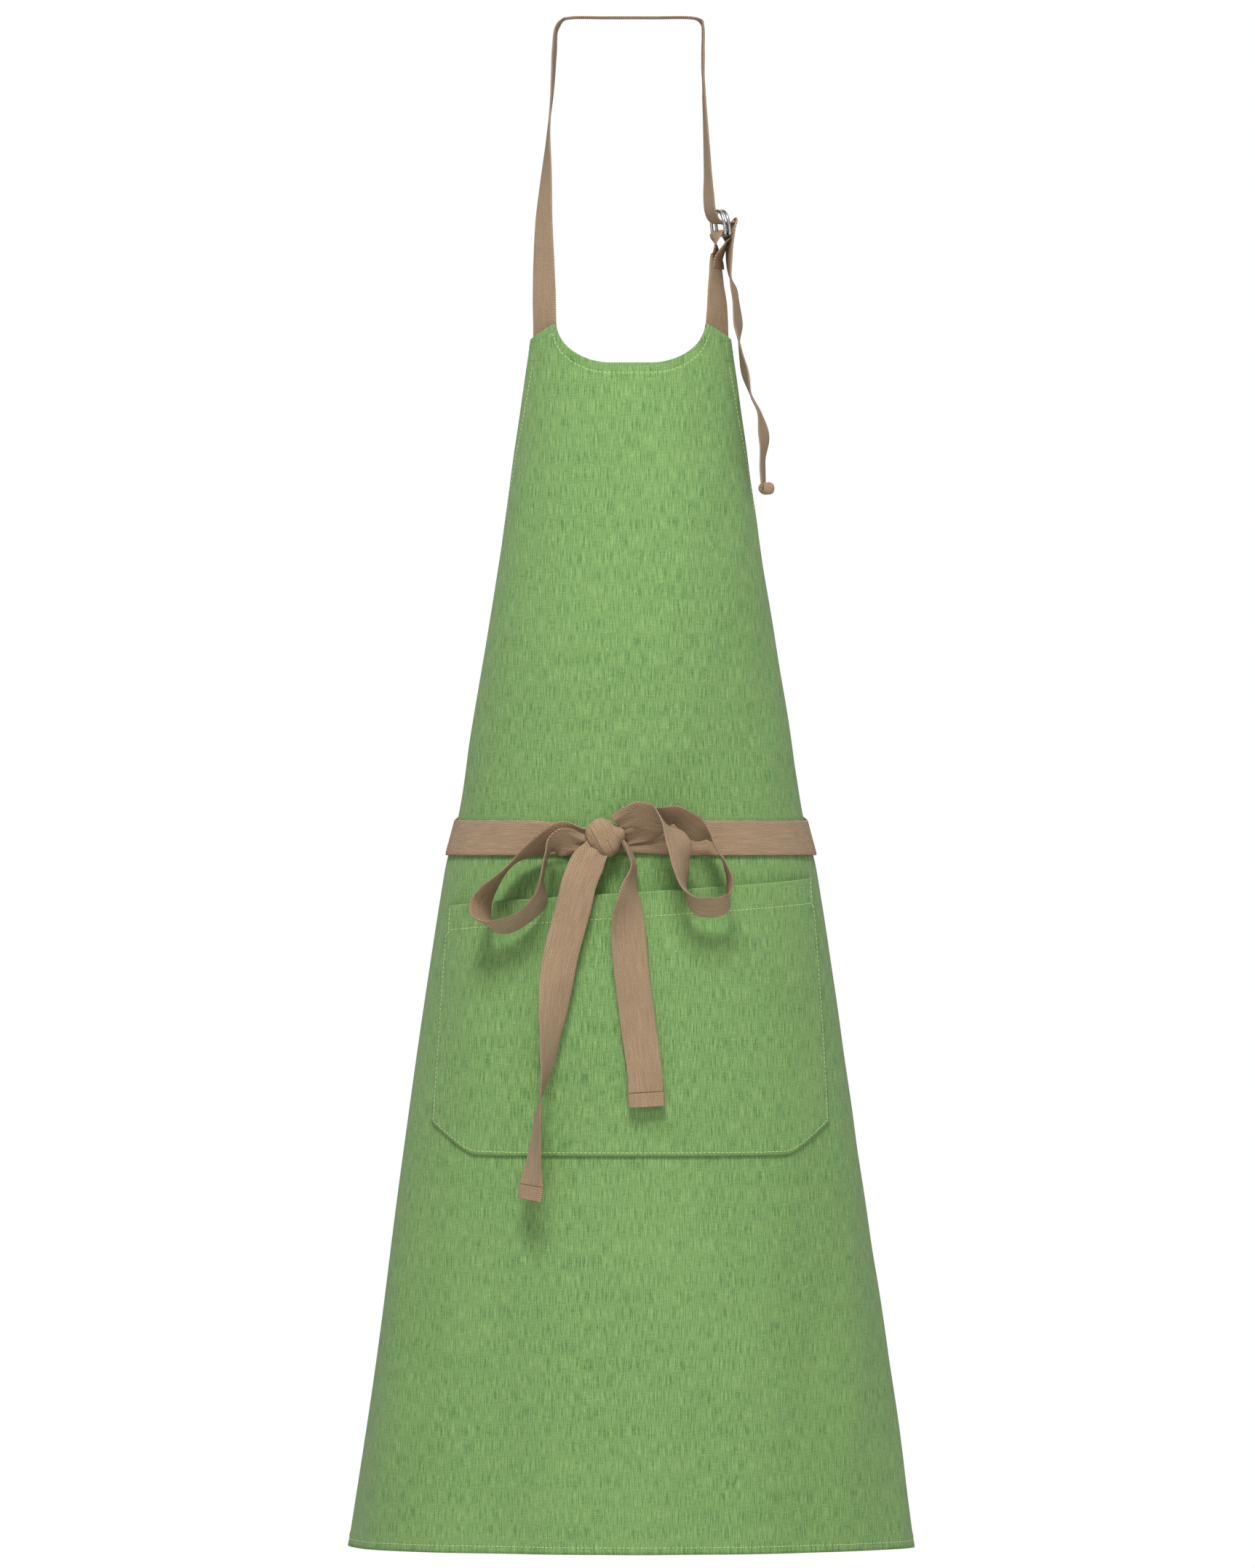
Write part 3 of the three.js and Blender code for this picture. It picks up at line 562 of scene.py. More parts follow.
def thread(name, colour):
    """Sewing thread with a twist that shows as fine stripes."""
    t = Tree(name, roughness=0.6, sheen=0.2)
    place = t.add("ShaderNodeTexCoord").outputs["Object"]
    twist = t.add("ShaderNodeTexNoise", None, Vector=place, Scale=2600.0).outputs[0]
    lighter = tuple(min(1.0, 1.25 * c) for c in colour[:3]) + (1.0,)
    darker = tuple(0.75 * c for c in colour[:3]) + (1.0,)
    return t.finish(t.blend(darker, lighter, t.step(twist, 0.35, 0.65)), t.bump(twist, 0.3, 0.0001))


def steel(name):
    """Polished plated wire, with fine scratches and slightly duller patches."""
    t = Tree(name, roughness=0.22, metallic=1.0)
    place = t.add("ShaderNodeTexCoord").outputs["Object"]
    patches = t.add("ShaderNodeTexNoise", None, Vector=place, Scale=260.0).outputs[0]
    scratch = t.add("ShaderNodeTexNoise", None, Vector=place, Scale=1900.0).outputs[0]
    rough = t.add("ShaderNodeMapRange", None, Value=patches)
    rough.inputs["To Min"].default_value = 0.16
    rough.inputs["To Max"].default_value = 0.34
    t.links.new(rough.outputs[0], t.shader.inputs["Roughness"])
    colour = t.blend(rgb(196, 196, 194), rgb(226, 226, 224), t.step(patches, 0.35, 0.65))
    return t.finish(colour, t.bump(scratch, 0.12, 0.00008))


cloth_green = green_cloth("apron_cloth")
cloth_inside = green_cloth("apron_cloth_inside", 0.94)
tape_tan = tan_tape("cotton_tape_look")
thread_light = thread("thread_light", rgb(200, 225, 150))
thread_green = thread("thread_green", rgb(112, 156, 84))
thread_tan = thread("thread_tan", rgb(186, 156, 122))
ring_metal = steel("ring_steel_look")


# ---------- the panel
LEVEL = BIB_TOP + SCOOP + 24
TOP_ROWS = 0.12
STITCH_IN = 8.0
HEM_STITCH = 5.0
FACING_STITCH = 7.0


def panel_down(share, v):
    upper = mix(top_edge(share), LEVEL, np.clip(v / TOP_ROWS, 0, 1))
    return upper + (HEM - LEVEL) * np.clip((v - TOP_ROWS) / (1 - TOP_ROWS), 0, 1)


def relief(share, down):
    """Hems stand out a little over their folds, with a groove where they are sewn."""
    degrees = measure(EDGE, down)
    side = (1 - np.abs(share)) * degrees * per_degree(share * degrees, down)
    foot = HEM - down
    neck = down - top_edge(share)
    lip = 0.30 * (1 - smooth(side, STITCH_IN - 1.5, STITCH_IN + 1.0)) - 0.22 * bump(side, STITCH_IN, 0.9)
    lip = lip + 0.35 * (1 - smooth(foot, 9.0, 11.5)) - 0.3 * bump(foot, HEM_STITCH, 1.1)
    lip = lip + 0.35 * (1 - smooth(neck, 8.0, 10.5)) - 0.3 * bump(neck, FACING_STITCH, 1.1)
    puckers = 0.10 * np.sin(share * 260) * bump(foot, HEM_STITCH, 4)
    return lip + puckers


def by_share(share, down, lift):
    degrees = share * measure(EDGE, down)
    return on_form(degrees, down, lift + sway(degrees, down) + relief(share, down))


def panel_place(u, v, lift):
    share = 2 * u - 1
    return by_share(share, panel_down(share, v), lift)


def weave_of(share, down):
    degrees = share * measure(EDGE, down)
    return np.stack([around_of(degrees, down), down], -1)


def panel_weave(u, v):
    share = 2 * u - 1
    return weave_of(share, panel_down(share, v))


panel = cloth_piece("apron_panel", 210, 340, panel_place, CLOTH, cloth_green, panel_weave)


def share_in(down, inward):
    """The share at which the cloth lies so many millimetres in from the panel's side edge."""
    edge = measure(EDGE, down)
    return 1 - inward / (edge * per_degree(edge, down))


def under(lift):
    return lift - CLOTH - LAYER_GAP


def strip(name, columns, rows, place, weave):
    return cloth_piece(name, columns, rows, place, FOLD, cloth_inside, weave)


HEM_FOLD = 10
FACING = 8
SIDE_FOLD = 9


def hem_share(u):
    return 1.98 * u - 0.99


def hem_down(v):
    return HEM - 0.4 - (HEM_FOLD - 0.6) * (1 - v)


def facing_share(u):
    return (2 * u - 1) * SCOOP_SIDE


def facing_down(u, v):
    return top_edge(facing_share(u)) + 0.6 + FACING * v


bottom_hem = strip(
    "hem_bottom_fold", 200, 4,
    lambda u, v, lift: by_share(hem_share(u), hem_down(v), under(lift)),
    lambda u, v: weave_of(hem_share(u), hem_down(v)),
)
facing = strip(
    "neckline_facing_fold", 120, 4,
    lambda u, v, lift: by_share(facing_share(u), facing_down(u, v), under(lift)),
    lambda u, v: weave_of(facing_share(u), facing_down(u, v)),
)
side_folds = []
for hand, side in ((-1, "left"), (1, "right")):
    for part, first, last in (("armhole", BIB_TOP + 34, WAIST - 14), ("skirt", WAIST + 14, HEM - 12)):
        def fold_place(u, v, lift, hand=hand, first=first, last=last):
            down = mix(first, last, v)
            return by_share(hand * share_in(down, 0.5 + SIDE_FOLD * u), down, under(lift))

        def fold_weave(u, v, hand=hand, first=first, last=last):
            down = mix(first, last, v)
            return weave_of(hand * share_in(down, 0.5 + SIDE_FOLD * u), down)

        side_folds.append(strip(f"hem_{part}_{side}_fold", 4, 160, fold_place, fold_weave))

# ---------- the pocket
POCKET_LIFT = POCKET_GAP + LAYER_GAP + FOLD
POCKET_STITCH = 2.6
MOUTH_STITCH = 17.5


def pocket_top(u):
    return POCKET_TOP - POCKET_TILT * u


def pocket_bottom(u):
    wide, high = POCKET_CORNER
    past = np.abs(u) * (POCKET_WIDTH / 2) - (POCKET_WIDTH / 2 - wide)
    soft = 5.0
    return POCKET_BOTTOM - high / wide * 0.5 * (past + np.sqrt(past * past + soft * soft))


def pocket_point(u, v, lift):
    """u from -1 to 1 across the pocket and v from 0 at its mouth to 1 at its bottom."""
    down = mix(pocket_top(u), pocket_bottom(u), v)
    around = u * (POCKET_WIDTH / 2 + mix(*POCKET_FLARE, v))
    degrees = angle_of(around, down)
    side = (1 - np.abs(u)) * POCKET_WIDTH / 2
    foot = pocket_bottom(u) - down
    edge = np.minimum(side, foot)
    mouth = down - pocket_top(u)
    gape = POCKET_GAPE * (1 - u * u) * (1 - v) ** 1.4
    loose = smooth(edge, 4, 40)
    puff = loose * (1.0 * np.sin(around / 27 + 0.4) + 0.8 * np.sin(around / 17 - down / 60 + 1.0) + 1.2)
    puff = puff * smooth(mouth, 10, 60)
    fold = -1.1 * (1 - smooth(edge, 0, 2.2)) - 0.32 * bump(edge, POCKET_STITCH, 0.8)
    hem = -0.28 * bump(mouth, MOUTH_STITCH, 1.1) + 0.3 * (1 - smooth(mouth, 18, 20))
    pucker = 0.12 * np.sin(around / 2.1) * bump(mouth, MOUTH_STITCH, 3) * loose
    pucker = pucker + 0.14 * np.sin((around + down) / 2.4) * bump(edge, POCKET_STITCH + 1.5, 2.5)
    high = POCKET_LIFT + CLOTH + gape + puff + fold + hem + pucker
    return on_form(degrees, down, lift + high + sway(degrees, down))


def pocket_place(u, v, lift):
    return pocket_point(2 * u - 1, v, lift)


def pocket_weave(u, v):
    share = 2 * u - 1
    down = mix(pocket_top(share), pocket_bottom(share), v)
    return np.stack([share * POCKET_WIDTH / 2 + 333, down], -1)


pocket = cloth_piece("pocket_patch", 200, 130, pocket_place, CLOTH, cloth_green, pocket_weave)


def pocket_v(u, below):
    """The v at which the pocket lies so many millimetres below its mouth."""
    return below / (pocket_bottom(u) - pocket_top(u))


MOUTH_HEM = 18
mouth_hem = strip(
    "pocket_mouth_fold", 160, 5,
    lambda u, v, lift: pocket_point(
        (2 * u - 1) * 0.93, pocket_v((2 * u - 1) * 0.93, 0.6 + MOUTH_HEM * v), under(lift)
    ),
    lambda u, v: np.stack([(2 * u - 1) * 140 + 500, 30 * v], -1),
)


def edge_path(count, inward):
    """The pocket's outline, so far in from its edge: down one side, across and up the other."""
    half = POCKET_WIDTH / 2 - inward
    sides = np.linspace(0, 1, count)
    left = [(-1.0, s) for s in mix(0.13, 1.0, sides)]
    bottom = [(u, 1.0) for u in np.linspace(-1, 1, 2 * count)[1:-1]]
    right = [(1.0, s) for s in mix(1.0, 0.10, sides)]
    path = np.array(left + bottom + right)
    u = path[:, 0] * half / (POCKET_WIDTH / 2)
    span = pocket_bottom(u) - pocket_top(u)
    v = np.minimum(path[:, 1], 1 - inward / span)
    return u, v


outer_u, outer_v = edge_path(60, 1.0)
inner_u, inner_v = edge_path(60, 9.0)


def edge_fold_place(u, v, lift):
    i = np.clip(np.round(u * (len(outer_u) - 1)).astype(int), 0, len(outer_u) - 1)
    share, at = mix(outer_u[i], inner_u[i], v), mix(outer_v[i], inner_v[i], v)
    down = mix(pocket_top(share), pocket_bottom(share), at)
    degrees = angle_of(share * POCKET_WIDTH / 2, down)
    return on_form(degrees, down, lift + sway(degrees, down) + 0.25 + 0.35)


edge_fold = cloth_piece(
    "pocket_edge_turned_in", len(outer_u) - 1, 3, edge_fold_place, 0.35, cloth_inside,
    lambda u, v: np.stack([u * 700, v * 9], -1),
)


# ---------- the waist ties
ANCHOR_IN = 9
CROSS_RISE = 22
CROSS_GAP = 0.6
waist_edge = float(measure(EDGE, WAIST))
knot_angle = math.degrees(math.asin(KNOT_X / float(measure(HALF, WAIST))))


def waist_tie(name, hand, crossing, clear_by, seed):
    """A tie from inside its own edge, across the other at the back, and round to the knot."""
    start = waist_edge - ANCHOR_IN
    beyond = 360 - waist_edge
    end = 360 + hand * knot_angle - 0.8
    inside = -CLOTH - FOLD - 3.5 * LAYER_GAP - TAPE
    steps = 620
    u = np.linspace(0, 1, steps + 1)[:, None]
    across = TAPE_ACROSS[None, :]
    turned = mix(start, end, u)
    outside = smooth(turned, waist_edge + 1, waist_edge + clear_by)
    settled = smooth(turned, beyond + 4, beyond + 40)
    lift = mix(mix(inside, crossing, outside), TIE_GAP, settled)
    crossed = np.clip((turned - waist_edge) / (beyond - waist_edge), 0, 1)
    level = CROSS_RISE * mix(-1, 1, crossed) * (1 - smooth(turned, beyond, 275))
    pinch = smooth(turned, end - 26, end - 2)
    far = u * steps * 0.72
    tooth = RIB_DEEP * np.sin(2 * math.pi * far / RIB)
    half = (TAPE_WIDTH / 2 - RIB_DEEP) * (1 - 0.30 * pinch) + tooth
    down = WAIST - level + across * half + 1.5 * pinch
    rolled = 0.9 * pinch * (1 - np.cos(across * 5.0)) + 0.25 * (1 + np.sin(far / 31 + seed)) * settled
    thick = TAPE / 2 * rounded_edge(across)
    degrees = hand * turned
    middle = lift + TAPE / 2 + rolled
    outer = on_form(degrees, down, middle + thick)
    inner = on_form(degrees, down, middle - thick)
    uv = np.stack(np.broadcast_arrays(across * TAPE_WIDTH / 2 + 40 * seed, far), -1)
    line = (outer + inner)[:, TAPE_COLUMNS // 2] / 2
    length = float(np.sum(np.linalg.norm(np.diff(line, axis=0), axis=1)))
    return closed_sheet(name, outer, inner, uv, tape_tan), length


tie_left, tie_left_long = waist_tie("waist_tie_left_tape", -1, TIE_GAP, 11, 1)
tie_right, tie_right_long = waist_tie("waist_tie_right_tape", 1, TIE_GAP + TAPE + CROSS_GAP, 7, 2)

# ---------- the neck strap
STRAP_SHARE = 0.89
STRAP_LIFT = -CLOTH - FOLD - 2 * LAYER_GAP - TAPE / 2 - 1.6
neck = 97 / 2


def sewn(hand, down):
    degrees = hand * STRAP_SHARE * float(measure(EDGE, BIB_TOP))
    here, near, far = (on_form(degrees + hand * d, down, STRAP_LIFT) for d in (0, -1, 1))
    across = (far - near) / np.linalg.norm(far - near)
    return [*here, *across]


def at_ring(out, up):
    here = RING_AT + RING_OUT * out
    return [here[0], here[1], here[2] + up, *RING_ACROSS]


rings_half = RING_SPACING / 2 + WIRE / 2
strap_rows = [
    sewn(-1, BIB_TOP + 24),
    sewn(-1, BIB_TOP + 8),
    [-60.8, -53.5, -205, -0.66, 0.75, 0],
    [-61.2, -51, -175, -0.6, 0.8, 0],
    [-61.2, -47, -144, -0.47, 0.88, 0],
    [-59.7, -41, -114, -0.3, 0.95, 0],
    [-58.2, -32, -83, -0.06, 1, 0],
    [-55.6, -21, -52, 0.05, 1, 0],
    [-54, -9, -24, 0.1, 1, 0],
    [-neck - 4, -3, -9, 0.08, 1, 0],
    [-neck - 1.7, -1, -4, 0.05, 1, 0],
    [-neck + 1.5, 0, -0.4, 0, 1, 0],
    [-neck + 7, 0, 0.7, 0, 1, 0],
    [-20, 0, 0.7, 0, 1, 0],
    [0, 0, 0.7, 0, 1, 0],
    [20, 0, 0.7, 0, 1, 0],
    [neck - 7, 0, 0.7, 0, 1, 0],
    [neck - 1.5, 0, -0.4, 0, 1, 0],
    [neck + 1.7, -1, -4, -0.02, 1, 0],
    [neck + 2.5, -3, -9, -0.04, 1, 0],
    [51, -10, -26, -0.05, 1, 0],
    [51.5, -20, -52, -0.05, 1, 0],
    [53, -29, -83, -0.12, 0.99, 0],
    [54.3, -35.5, -112, -0.2, 0.97, 0],
    [54.8, -37.8, -126, -0.28, 0.96, 0],
    at_ring(-rings_half - 5, STRAP_THROUGH_RING + 8),
    at_ring(-rings_half - 2.8, STRAP_THROUGH_RING + 2.5),
    at_ring(-3, STRAP_THROUGH_RING + 0.3),
    at_ring(0, STRAP_THROUGH_RING),
    at_ring(rings_half + LAYER_GAP, STRAP_THROUGH_RING),
]
strap, strap_long = ribbon("neck_strap_tape", strap_rows, seed=3)

LOOP_GAP = 0.5
loop_out = rings_half + LOOP_GAP + TAPE / 2
loop_up = WIRE / 2 + LOOP_GAP + TAPE / 2
folded_back = TAPE + LOOP_GAP
short_rows = [
    sewn(1, BIB_TOP + 24),
    sewn(1, BIB_TOP + 8),
    [60.8, -52, -202, 0.55, 0.83, 0],
    [60.4, -47, -186, 0.38, 0.92, 0],
    [*at_ring(-loop_out + 0.4, -16)[:3], 0.25, 0.97, 0],
    [*at_ring(-loop_out, -7)[:3], 0.04, 1, 0],
    at_ring(-loop_out, -1),
    at_ring(-loop_out + 1.6, loop_up - 0.5),
    at_ring(0, loop_up),
    at_ring(loop_out - 1.6, loop_up - 0.5),
    at_ring(loop_out, -1),
    [*at_ring(loop_out - 0.8, -6)[:3], 0.04, 1, 0],
    [*at_ring(-loop_out + 0.6 + folded_back, -17)[:3], 0.25, 0.97, 0],
    [*at_ring(-loop_out + 0.2 + folded_back, -24)[:3], 0.32, 0.95, 0],
]
short, short_long = ribbon("neck_strap_short_tape", short_rows, seed=4, step=0.6)

tail_rows = [
    at_ring(rings_half + 2 * LAYER_GAP, STRAP_THROUGH_RING),
    at_ring(rings_half + 3.3, STRAP_THROUGH_RING - 0.8),
    [70.2, -38.5, -152, -0.25, 0.97, 0],
    [69.4, -39.5, -166, -0.2, 0.98, 0],
    [70, -41, -182, -0.05, 1, 0],
    [73, -42, -194, 0.2, 0.98, 0],
    [75.5, -42, -215.7, 0.22, 0.97, 0],
    [76.4, -42, -230, 0, 1, 0],
    [80, -41, -249, -0.15, 0.98, 0],
    [84.7, -40, -267, 0, 1, 0],
    [90.8, -40, -280, 0.1, 1, 0],
    [93.8, -41, -297, 0.3, 0.95, 0],
    [92.8, -42, -313.7, 0.15, 0.98, 0],
    [93.4, -42, -332, 0.1, 0.99, 0],
]
strap_tail, strap_tail_long = ribbon("neck_strap_tail_tape", tail_rows, seed=5, ruffle=0.35)


# ---------- the D-rings
RING_HALF = 15
RING_HIGH = 17
RING_LEAN = 8
RING_SQUARENESS = 0.6


def d_ring(name, out):
    """A ring of round wire: a straight bar and a squarish arc over it, leaning inward."""
    lean = math.radians(RING_LEAN)
    up = RING_OUT * -math.sin(lean) + np.array([0, 0, math.cos(lean)])
    facing = np.cross(up, RING_ACROSS)
    bar = RING_AT + RING_OUT * out
    arc = np.linspace(0, math.pi, 90)
    wide = np.sign(np.cos(arc)) * np.abs(np.cos(arc)) ** RING_SQUARENESS * RING_HALF
    high = np.sin(arc) ** RING_SQUARENESS * RING_HIGH
    straight = np.linspace(-RING_HALF, RING_HALF, 40)[1:-1]
    wide = np.concatenate([wide, straight])
    high = np.concatenate([np.maximum(high, 0), np.zeros(len(straight))])
    for _ in range(6):
        wide = (np.roll(wide, 1) + 2 * wide + np.roll(wide, -1)) / 4
        high = (np.roll(high, 1) + 2 * high + np.roll(high, -1)) / 4
    path = bar + wide[:, None] * RING_ACROSS + high[:, None] * up
    along = np.roll(path, -1, 0) - np.roll(path, 1, 0)
    along /= np.linalg.norm(along, axis=1, keepdims=True)
    side = np.cross(along, facing)
    sides = 18
    turn = np.linspace(0, 2 * math.pi, sides, endpoint=False)
    reach = side[:, None] * np.cos(turn)[None, :, None] + facing * np.sin(turn)[None, :, None]
    points = (path[:, None] + reach * WIRE_SHOWN / 2).reshape(-1, 3)
    obj = make_mesh(name, points, ring_faces(len(path), sides, len(path)), ring_metal)
    face_out(obj)
    return obj


ring_inner = d_ring("d_ring_inner_wire", -RING_SPACING / 2)
ring_outer = d_ring("d_ring_outer_wire", RING_SPACING / 2)

# ---------- the bow
KNOT_CLEAR = 0.7
KNOT_DEEP = 16
knot_at = on_form(knot_angle, WAIST, TIE_GAP + TAPE + KNOT_CLEAR + KNOT_DEEP / 2)


def from_knot(rows):
    rows = np.array(rows, float)
    rows[:, :3] += knot_at
    return rows


left_loop_rows = [
    [-15.5, 4.5, 0, 0, 0.2, -1],
    [-31, 3, 1.5, 0.1, 0.5, -0.85],
    [-53.5, 4, -9, 0.47, 0.87, -0.16],
    [-66.8, 6, -18.4, 0.26, 0.95, 0.13],
    [-82, 11, -35, 0.61, 0.75, 0.24],
    [-88, 11, -46.4, 0.63, 0.76, 0.12],
    [-88, 8, -56.6, 0.53, 0.84, -0.06],
    [-83, 3, -61.7, 0.29, 0.91, -0.29],
    [-70.9, -1, -61.7, 0.11, 0.9, -0.42],
    [-55, -6, -53, 0.3, 0.9, -0.32],
    [-47, -8, -43.4, 0.33, 0.89, -0.3],
    [-44.9, -8, -26, 0.07, 1, 0],
    [-41.6, -7, -11, 0.1, 0.99, 0],
    [-39, -6.3, -4.5, 0.12, 0.92, -0.35],
    [-34, -5.5, -2.5, 0.05, 0.7, -0.7],
    [-28, -4, -3, 0, 0.5, -0.85],
    [-21.8, -1.2, -4.2, 0, 0.35, -0.93],
    [-16, 0.6, -5, 0, 0.2, -1],
]
right_loop_rows = [
    [7, -3, 10, 0.1, 0.6, -0.79],
    [15, -5.9, 13.6, 0.05, 0.6, -0.8],
    [22.4, -7, 15.5, 0, 0.57, -0.83],
    [32.6, -10, 14, 0.06, 0.6, -0.8],
    [40.3, -15, 10, 0.51, 0.64, -0.57],
    [50.5, -18, -3.6, 0.7, 0.71, 0],
    [52, -18, -18.9, 0.49, 0.87, -0.06],
    [55.6, -18, -36.7, 0.2, 0.9, -0.37],
    [63.8, -17, -46.4, 0.14, 0.79, -0.59],
    [74.5, -15, -48.5, 0.08, 0.84, -0.53],
    [84.7, -11, -44.9, 0.04, 0.86, -0.51],
    [86.7, -8, -31.6, -0.18, 0.98, 0],
    [83.6, -6, -19.4, -0.12, 0.99, 0.08],
    [77.5, -4, -6.6, 0.16, 0.98, -0.12],
    [71.4, -3, 2, 0, 0.95, -0.3],
    [63.2, -2, 6.6, -0.24, 0.7, -0.67],
    [48, -2, 16.3, -0.2, 0.85, -0.49],
    [32, 0, 11, 0, 0.5, -0.86],
    [12.7, 6, 1.5, 0, 0.12, -1],
]
left_tail_rows = [
    [-5, -1, -6, 0.97, 0, -0.25],
    [-12, -7, -15, 0.97, 0, -0.25],
    [-18.6, -11, -30, 0.97, 0, -0.22],
    [-22.4, -12, -45.9, 0.97, 0, -0.22],
    [-27.5, -12, -64.8, 0.97, 0, -0.24],
    [-32.9, -13, -86.7, 0.97, 0.1, -0.2],
    [-38.3, -18, -128, 0.74, 0.68, -0.1],
    [-42.6, -22, -164.7, 0.27, 0.96, 0],
    [-45.6, -24, -179, 0.04, 1, 0],
    [-48.5, -25, -201, -0.2, 0.98, 0],
    [-50, -25, -219, -0.36, 0.93, 0],
    [-52.6, -24, -243, -0.65, 0.76, 0],
]
right_tail_rows = [
    [12.9, -7.5, -3.5, 0.1, 0.99, 0],
    [19.1, -13, -18.9, 0.14, 0.99, 0],
    [18.1, -16, -29, 0.31, 0.95, 0],
    [16, -19, -40, 0.59, 0.81, 0],
    [14.8, -17, -53.6, 0.86, 0.51, 0],
    [15.6, -14, -69.4, 1, 0.1, 0],
    [17.3, -13, -91.8, 1, 0, 0.05],
    [21.9, -14, -128, 1, 0, 0.1],
    [26.8, -17, -164.7, 1, 0, 0.1],
    [27.6, -18, -178, 1, 0, 0.05],
]


def bow_tape(part, rows, seed, **look):
    return ribbon(f"bow_{part}_tape", from_knot(rows), seed=seed, **look)


LOOP_PINCH = (0.4, 0.4)
loop_left, loop_left_long = bow_tape("loop_left", left_loop_rows, 6, cup=0.5, pinch=LOOP_PINCH)
loop_right, loop_right_long = bow_tape("loop_right", right_loop_rows, 7, cup=0.5, pinch=LOOP_PINCH)
tail_left, tail_left_long = bow_tape("tail_left", left_tail_rows, 8, ruffle=0.3, pinch=(0.25, 0))
tail_right, tail_right_long = bow_tape("tail_right", right_tail_rows, 9, ruffle=0.25, pinch=(0.3, 0))

TAIL_FOLD = 10


def tail_end(name, rows, seed):
    """The double fold sewn across a tail's end, and its two rows of stitches."""
    rows = from_knot(rows)
    last, before = rows[-1], rows[-2]
    along = last[:3] - before[:3]
    along /= np.linalg.norm(along)
    marks = [last[:3] + along * (LAYER_GAP + TAIL_FOLD * t) for t in np.linspace(0, 1, 5)]
    route = [[*mark, *last[3:]] for mark in marks]
    piece, _ = ribbon(name, route, TAPE_WIDTH + 0.6, 2 * TAPE, step=0.5, seed=seed)
    across = last[3:] - along * np.dot(last[3:], along)
    across /= np.linalg.norm(across)
    face = np.cross(along, across)
    lines = []
    for out in (1, -1):
        for far in (0.12, 0.86):
            start = last[:3] + along * (LAYER_GAP + TAIL_FOLD * far) + face * out * TAPE
            reach = across * (TAPE_WIDTH / 2 - 1.5)
            line = np.array([start - reach, start, start + reach])
            lines.append((line, np.array([face * out] * 3)))
    return piece, stitches(f"{name}_thread", lines, thread_tan, seed, sink=0.1)


end_left, end_left_thread = tail_end("bow_tail_left_end", left_tail_rows, 10)
end_right, end_right_thread = tail_end("bow_tail_right_end", right_tail_rows, 11)

# The knot: its outline seen from the front, a crown of wrapped tape, and the layers' folds on it.
KNOT_OUTLINE = np.array(
    [
        (13.4, 4.6), (12.8, 0.6), (10.5, -4.5), (6.5, -11.5), (2.0, -13.6), (-2.5, -11.6),
        (-9.5, -6.2), (-13.6, -0.6), (-14.4, 4.5), (-9.5, 12.0), (-5.5, 14.0), (1.8, 12.6),
        (6.4, 8.8), (12.5, 6.2),
    ],
    float,
)


def wrapped_knot(name, outline, depth, at, tilt, bands, material, seed):
    """A knot of wrapped tape: crowned front and back, with the edges of its layers as ridges."""
    around, steps = 96, 40
    corner = np.concatenate([outline[-3:], outline, outline[:3]])
    turn = np.unwrap(np.arctan2(corner[:, 1], corner[:, 0]))
    order = np.argsort(turn)
    angles = np.linspace(-math.pi, math.pi, around, endpoint=False)
    wrapped = np.concatenate([turn[order] - 2 * math.pi, turn[order], turn[order] + 2 * math.pi])
    size = np.tile(np.linalg.norm(corner, axis=1)[order], 3)
    keep = np.argsort(wrapped)
    reach = np.interp(angles, wrapped[keep], size[keep])
    for _ in range(2):
        reach = (np.roll(reach, 1) + 2 * reach + np.roll(reach, -1)) / 4
    polar = np.linspace(0, math.pi, steps + 1)
    points = []
    for theta in polar:
        for a, r in zip(angles, reach):
            rho = math.sin(theta) ** 0.8 if 0 < theta < math.pi else 0.0
            x, z = r * rho * math.cos(a), r * rho * math.sin(a)
            y = -depth * math.copysign(abs(math.cos(theta)) ** 0.8, math.cos(theta))
            cut = x * math.cos(tilt) + z * math.sin(tilt)
            long = -x * math.sin(tilt) + z * math.cos(tilt)
            ridge = 0.0
            for place, height, reach_in in bands:
                edge = cut - place - 0.05 * long
                ridge += height * (1 / (1 + math.exp(-edge / reach_in)))
            crease = 0.34 * math.sin(cut * 2.1 + 0.08 * long + seed) + 0.12 * math.sin(cut * 4.4 + seed)
            lift = (ridge + crease) * (math.sin(theta) ** 0.3 if 0 < theta < math.pi else 1.0)
            y -= lift * math.copysign(abs(math.cos(theta)) ** 0.5, math.cos(theta))
            points.append(np.array([x, y, z]) + at)
    points = np.array(points)
    flat = points - at
    weave = np.stack(
        [
            flat[:, 0] * math.cos(tilt) + flat[:, 2] * math.sin(tilt) + 70 + 15 * seed,
            -flat[:, 0] * math.sin(tilt) + flat[:, 2] * math.cos(tilt),
        ],
        1,
    )
    obj = make_mesh(name, points, ring_faces(steps, around, steps + 1), material, weave)
    face_out(obj, merge=1e-6)
    return obj


BAND_TILT = math.radians(28)
knot = wrapped_knot(
    "bow_knot_wrap", KNOT_OUTLINE, 7.4, knot_at, BAND_TILT,
    ((-7.4, 2.1, 0.28), (6.6, -2.3, 0.28), (0.5, 0.6, 0.4)), tape_tan, 1,
)
TAIL_KNOT_OUTLINE = np.array(
    [(5.6, 0.5), (4.6, -3.2), (0.5, -4.3), (-3.8, -3.4), (-5.8, -0.2), (-4.4, 3.2), (0.2, 4.2), (4.2, 3.6)],
    float,
)
TAIL_KNOT_SIDE = 2
TAIL_KNOT_HIGH = 9
TAPE_END = (93.6, -42, -328)
tail_knot_at = np.array(
    [TAPE_END[0] + TAIL_KNOT_SIDE, TAPE_END[1], TAPE_END[2] - TAIL_KNOT_HIGH / 2 - LAYER_GAP]
)
